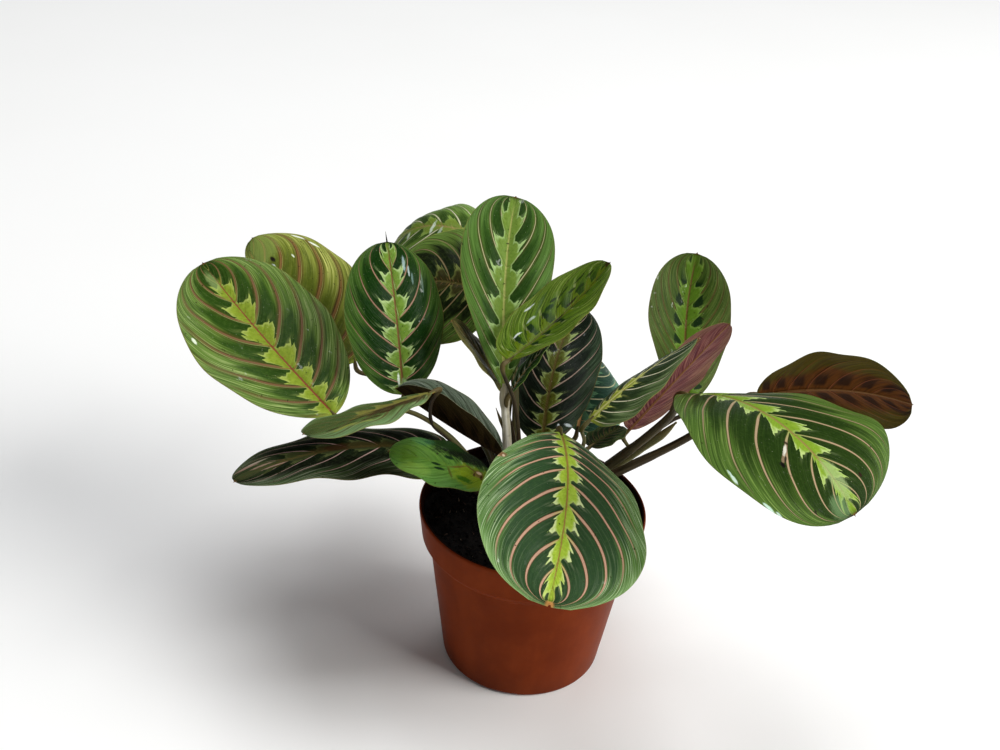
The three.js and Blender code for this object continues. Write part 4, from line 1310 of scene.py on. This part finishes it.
centre_small = add_blade(
    "leaf_centre_small", "leaf_dark", dict(
        green=(34, 56, 18), margin=(50, 76, 26), dark=(18, 34, 8), streak=0.3, lines=0.3,
        vein=(70, 92, 40), vein_strength=0.3, lime=(60, 84, 26), lime_deep=(50, 72, 22), lobe=0.2,
        band=0.5),
    shade=(1.9, 2.7, 2.9), at=(-16.2, 6.7, 159.9), heading=40, pitch=55, length=32, width=16,
    widest=0.49, bend=18, sway=-6, roll=26, fold=10, curl=-13, wave=0.5,
    stalk=[(-13, 15, 125)], thick=1.1, tone=0.1)
back_top = add_blade(
    "leaf_back_top", "leaf_green", dict(
        green=(84, 106, 34), margin=(100, 122, 52), pale=(158, 172, 110), dark=(44, 64, 14),
        dark_reach=0.4, vein=(172, 168, 120), vein_width=0.04, lime=(96, 112, 34),
        lime_deep=(86, 100, 28), lime_tip=(110, 128, 54), lobe=4, rib_strength=0.3,
        marks=[
            # All three marks are painted highlights
            (42.5, -1.2, 1.2, 6, 0.8, (200, 214, 196)),
            (36.8, -4.7, 1.0, 5, 0.6, (184, 200, 176)),
            (57.6, -5.6, 1.0, 3.6, 0.7, (200, 214, 196))]),
    shade=(1.38, 1.48, 2.0), at=(-31, 104, 191), heading=170, pitch=30, length=80, width=63,
    widest=0.48, bend=98, sway=-15, roll=18, fold=0, curl=-33, wave=1,
    stalk=[(-13, 21, 135), (-17, 46, 160), (-22, 86, 182)], thick=1.5, tone=0.35)
back_low = add_blade(
    "leaf_back_low", "leaf_dark", dict(
        green=(52, 62, 20), margin=(66, 78, 32), pale=(96, 116, 54), dark=(5, 7, 2), lines=0.9,
        vein=(104, 84, 62), vein_width=0.03, lime=(44, 40, 14), lime_deep=(36, 30, 10),
        lime_tip=(104, 104, 54), lobe=5, band=2.4, rib=(60, 50, 22)),
    shade=(2.6, 3.1, 2.9), at=(-27, 58, 187), heading=172, pitch=14, length=62, width=70,
    widest=0.48, bend=45, sway=-8, roll=40, fold=2, curl=-22, wave=1,
    stalk=[(-14, 20, 138), (-18, 34, 163), (-19, 52, 180)], thick=1.4, tone=0.3)
back_folded = add_blade(
    "leaf_back_folded", "leaf_red", dict(
        green=(52, 44, 18), margin=(64, 54, 24), pale=(84, 74, 40), dark=(40, 34, 12),
        vein=(66, 56, 28), border=0.2, lime=(54, 46, 18), lime_deep=(46, 40, 14),
        lime_tip=(60, 52, 24), rib=(66, 56, 28)),
    shade=(2.2, 2.8, 3.0), at=(-20, 27, 147), heading=190, pitch=58, length=52, width=27,
    widest=0.48, bend=8, sway=-2, roll=2, fold=10, curl=-13, wave=0.6,
    stalk=[(-17, 21, 125)], thick=1.1, tone=0.35)
dry_stub = [(-16, 11, 118), (-18, 8.5, 134), (-21, 7, 143), (-23.4, 6, 150)]
dry_end = {"thick": 1.2, "thin": 0.8, "tone": 0.15, "joint": False}
grow_stems("stems_centre", (-15, 15), 4.5, [
    centre_upright, centre_young, centre_small, back_top, back_low, back_folded],
    [(dry_stub, dry_end)])


# Leaves of the front and back stems
# The broad leaf that hangs over the pot's rim, the shaded one behind it and the bluish
# one that the photograph shows only in part.

front = add_blade(
    "leaf_front", "leaf_green", dict(
        green=(62, 92, 46), margin=(80, 116, 56), pale=(190, 214, 168), dark=(42, 68, 40),
        dark_reach=0.68, lines=1.2, vein=(188, 152, 126), vein_edge=(104, 46, 36),
        vein_width=0.06, vein_taper=0.35, vein_end=0.92, border=0.9, lime=(174, 202, 72),
        lime_deep=(142, 174, 48), lime_tip=(222, 232, 186), lime_edge=0.15, lobe=4.0,
        lobe_taper=2.6, lobe_peak=0.42, lobe_front=0.93, lobe_slant=0.1, band=1.6, teeth=2.2,
        tooth=1.8, corner=1.5, notch=0.2, hollow=0.0, spray=0.1, branch=(150, 110, 50),
        rib=(150, 122, 62), rib_width=0.6, rim=(126, 150, 92), tip=(206, 150, 84),
        # Its lip colour is a painted highlight on the turned-up edge near the tip
        lip=(130, 168, 104), lip_highlight_strength=0.45,
        marks=[
            (39.8, 34.1, 3.4, 3.0, 1.0, (128, 94, 62)),
            (40.8, 33.1, 1.6, 0.8, 1.0, (214, 190, 160)),
            (37.8, 35.6, 0.9, 1.8, 1.0, (60, 36, 22)),
            (42.0, 36.0, 0.8, 1.6, 1.0, (190, 150, 116))]),
    shade=(1.3, 1.25, 1.25), at=(10.5, -8.4, 148.1), heading=-79, pitch=9, length=108, width=84,
    widest=0.63, lip=2.4, bend=54, sway=-22, roll=19, fold=7, curl=-17, wave=1.2, veins=10.1,
    starts=(0.48, 0.71), crowd=0.35,
    stalk=[(10, -1, 115), (11, -2, 138)], thick=1.9, tone=0.4)
centre_shaded = add_blade(
    "leaf_centre_shaded", "leaf_dark", dict(
        green=(30, 42, 28), margin=(46, 62, 42), pale=(88, 104, 84), dark=(10, 18, 10),
        vein=(160, 140, 126), vein_width=0.034, lime=(92, 104, 34), lime_deep=(68, 68, 20),
        lime_tip=(150, 168, 104), lobe=3.3, lobe_peak=0.3, lobe_tips=0.9, band=1.1, teeth=2.6,
        tooth=2.2, corner=1.1, spray=0.2, branch=(84, 60, 28), rib=(84, 68, 34),
        rib_strength=0.75, rough=0.28, gloss=0.015, wet=0.4,
        marks=[
            # Both marks are painted highlights
            (9.1, 7.4, 2.6, 0.9, 1.0, (226, 236, 238)),
            (11.9, 12.8, 1.0, 2.6, 1.0, (200, 214, 216))]),
    at=(2, 11, 128), heading=91, pitch=40, length=95, width=49, widest=0.51, bend=36, sway=-21,
    roll=4, fold=0, curl=-36, wave=1, starts=(0.1, 0.2),
    stalk=[(3, 6, 112)], thick=1.7, tone=0.3)
behind_shaded = add_blade(
    "leaf_behind_shaded", "leaf_dark", dict(
        green=(30, 52, 40), margin=(48, 74, 58), pale=(96, 120, 100), dark=(16, 34, 26),
        lines=0.9, vein=(120, 118, 92), vein_width=0.04, lime=(46, 68, 48),
        lime_deep=(40, 60, 42), lime_tip=(60, 84, 60), lobe=2),
    shade=(3.0, 3.3, 3.2), at=(20, 35, 122), heading=83, pitch=17, length=79, width=56,
    widest=0.48, bend=34, sway=0, roll=-32, fold=4, curl=-19, wave=1,
    stalk=[(12, 32, 110)], thick=1.4, tone=0.3)
grow_stems("stems_front", (6, 0), 5, [front, centre_shaded])
grow_stems("stems_back", (2, 30), 4.5, [behind_shaded])


# Leaves of the right stems
# The broadest leaf, which arches over at the far right, the brown-backed one behind it,
# an upright one, and three between them and the centre.

far_right = add_blade(
    "leaf_far_right", "leaf_green", dict(
        green=(58, 84, 22), margin=(72, 100, 38), pale=(124, 150, 74), dark=(22, 42, 6),
        dark_reach=0.64, dark_strength=0.85, streak=0.55, lines=1.15, vein=(166, 142, 112),
        vein_edge=(52, 46, 18), vein_width=0.045, border=0.7, lime=(134, 164, 52),
        lime_deep=(112, 144, 34), lime_tip=(206, 222, 156), lime_edge=0.2, lobe=6.6,
        lobe_peak=0.62, lobe_slant=0.08, lobe_tips=0.55, band=1.3, teeth=1.6, tooth=3.2,
        corner=2.6, notch=0.12, hollow=0.25, spray=0.08, branch_strength=0.2, rib=(140, 124, 66),
        rib_width=1.1, rim=(80, 100, 40), wet=0.8,
        marks=[
            (84.8, 17, 10.5, 1.0, 0.9, (128, 108, 84), 57),
            (83.6, 15.6, 5.0, 0.9, 1.0, (206, 202, 188), 57),
            (89.6, 24.4, 1.6, 2.1, 1.0, (16, 13, 10)), (80.2, 10.6, 1.4, 1.0, 0.9, (40, 32, 22)),
            (87.6, 19.8, 2.4, 0.6, 0.9, (34, 28, 20), 57),
            (105.9, -17.4, 1.4, 1.0, 1.0, (40, 24, 12)), (111, 25, 1.3, 0.8, 1.0, (34, 34, 14)),
            (103, -1, 12, 5.5, 0.6, (158, 180, 120)), (114, 8, 6, 8, 0.5, (116, 150, 98)),
            # The last four marks are painted highlights along the lower edge
            (88.4, 54.4, 2.6, 1.0, 0.85, (206, 228, 214), 20),
            (85.4, 53.4, 1.8, 0.7, 0.8, (190, 214, 200), 20),
            (102.4, 49.2, 3.0, 0.9, 0.85, (196, 224, 208), -30),
            (106, 46.0, 1.8, 0.7, 0.8, (190, 216, 200), -30)]),
    at=(68.2, -15.2, 180.4), heading=-58, pitch=35, length=120, width=118, widest=0.67, wedge=0.3,
    bend=80, sway=13, roll=10, fold=4, curl=-10, wave=1.5, veins=9.5, starts=(0.71, 0.54),
    stalk=[(37, 15, 114), (54, 10, 137), (65, 0, 160)], thick=2.7, thin=1.9, tone=0.26)
far_right_behind = add_blade(
    "leaf_far_right_behind", "leaf_red", dict(
        under=(92, 50, 10), under_edge=(72, 66, 6), under_pale=(106, 70, 20),
        under_dark=(30, 10, 0), under_spread=1.5, under_streak=0.45, under_blotch=0.85,
        under_vein=(140, 78, 48)),
    at=(111.2, 30, 157.6), heading=-11, pitch=25, length=80, width=68, widest=0.51, wedge=0.4,
    bend=21, sway=-26, roll=63, fold=6, curl=-15, wave=1.2,
    stalk=[(45, 23, 107), (79, 31, 127)], thick=2.6, thin=1.8, tone=0.22)
right_upright = add_blade(
    "leaf_right_upright", "leaf_green", dict(
        green=(64, 86, 28), margin=(74, 92, 42), pale=(122, 138, 68), dark=(36, 58, 14),
        dark_reach=0.25, lines=0.8, blotch=(20, 40, 12), blotches=1.0, blotch_long=4.6,
        blotch_wide=2.4, blotch_to=0.8, vein=(94, 86, 42), vein_width=0.03, tinge=0.3,
        lime=(84, 118, 30), lime_deep=(76, 106, 24), lime_tip=(126, 154, 74), lobe=3.8,
        lobe_peak=0.3, lobe_tips=0.3, band=3.2, branch=(78, 72, 30), branch_strength=0.9,
        rib=(94, 76, 36), rough=0.42),
    at=(79.5, 49.8, 137.7), heading=113, pitch=51, length=82, width=50, widest=0.55, bend=-10,
    sway=-40, roll=-18, fold=14, curl=-5, wave=0.8, veins=10.4, starts=(0.56, 0.55), crowd=0.4,
    stalk=[(38, 20, 111), (71, 44, 129)], thick=1.8, tone=0.05)
right_narrow = add_blade(
    "leaf_right_narrow", "leaf_green", dict(
        green=(48, 66, 34), margin=(64, 80, 44), pale=(132, 142, 104), dark=(26, 38, 18),
        vein=(176, 174, 140), vein_width=0.04, lime=(128, 134, 46), lime_deep=(104, 110, 32),
        lime_tip=(160, 164, 90), lime_end=0.5, lobe=1.6, band=1.6, rib=(150, 148, 90)),
    shade=(2.5, 2.55, 2.6), at=(24, -13, 160), heading=33, pitch=42, length=68, width=42,
    widest=0.45, bend=-2, sway=-42, roll=16, fold=-5, curl=-25, wave=0.8,
    stalk=[(20, 9, 112), (23, 0, 138)], thick=1.2, tone=0.6)
right_red = add_blade(
    "leaf_right_red", "leaf_red", dict(
        under=(92, 42, 42), under_edge=(106, 74, 52), under_pale=(168, 124, 110),
        under_dark=(58, 18, 34), under_streak=0.75, under_blotch=0.2, under_vein=(156, 104, 92)),
    at=(47, 24, 133), heading=16, pitch=54, length=77, width=44, widest=0.48, bend=2, sway=0,
    roll=64, fold=9, curl=-13, wave=0.8,
    stalk=[(35, 20, 103), (49, 27, 116)], thick=1.3, tone=0.35)
right_small = add_blade(
    "leaf_right_small", "leaf_dark", dict(
        green=(34, 44, 18), margin=(44, 54, 22), dark=(16, 22, 8), lines=0.3, vein=(50, 54, 24),
        vein_strength=0.4, lime=(40, 46, 16), lime_deep=(32, 36, 12), lime_tip=(50, 56, 22),
        lobe=1, band=0.8, rib=(50, 46, 20)),
    shade=(1.65, 1.95, 2.3), at=(26.9, 11.8, 127.8), heading=39, pitch=24, length=22, width=26,
    widest=0.43, bend=18, sway=0, roll=20, fold=8, curl=-14, wave=0.6,
    stalk=[(23, 17, 110)], thick=1.2, tone=0.3)
papery_sheath = [(36, 15, 112), (45, 14, 119), (54, 13, 129), (63, 11, 140), (69, 8.5, 150)]
papery_end = {"thick": 1.2, "thin": 2.5, "tone": 0.58, "joint": False}
grow_stems("stems_right", (18, 14), 5.5, [
    far_right, far_right_behind, right_upright, right_narrow, right_red, right_small],
    [(papery_sheath, papery_end)])
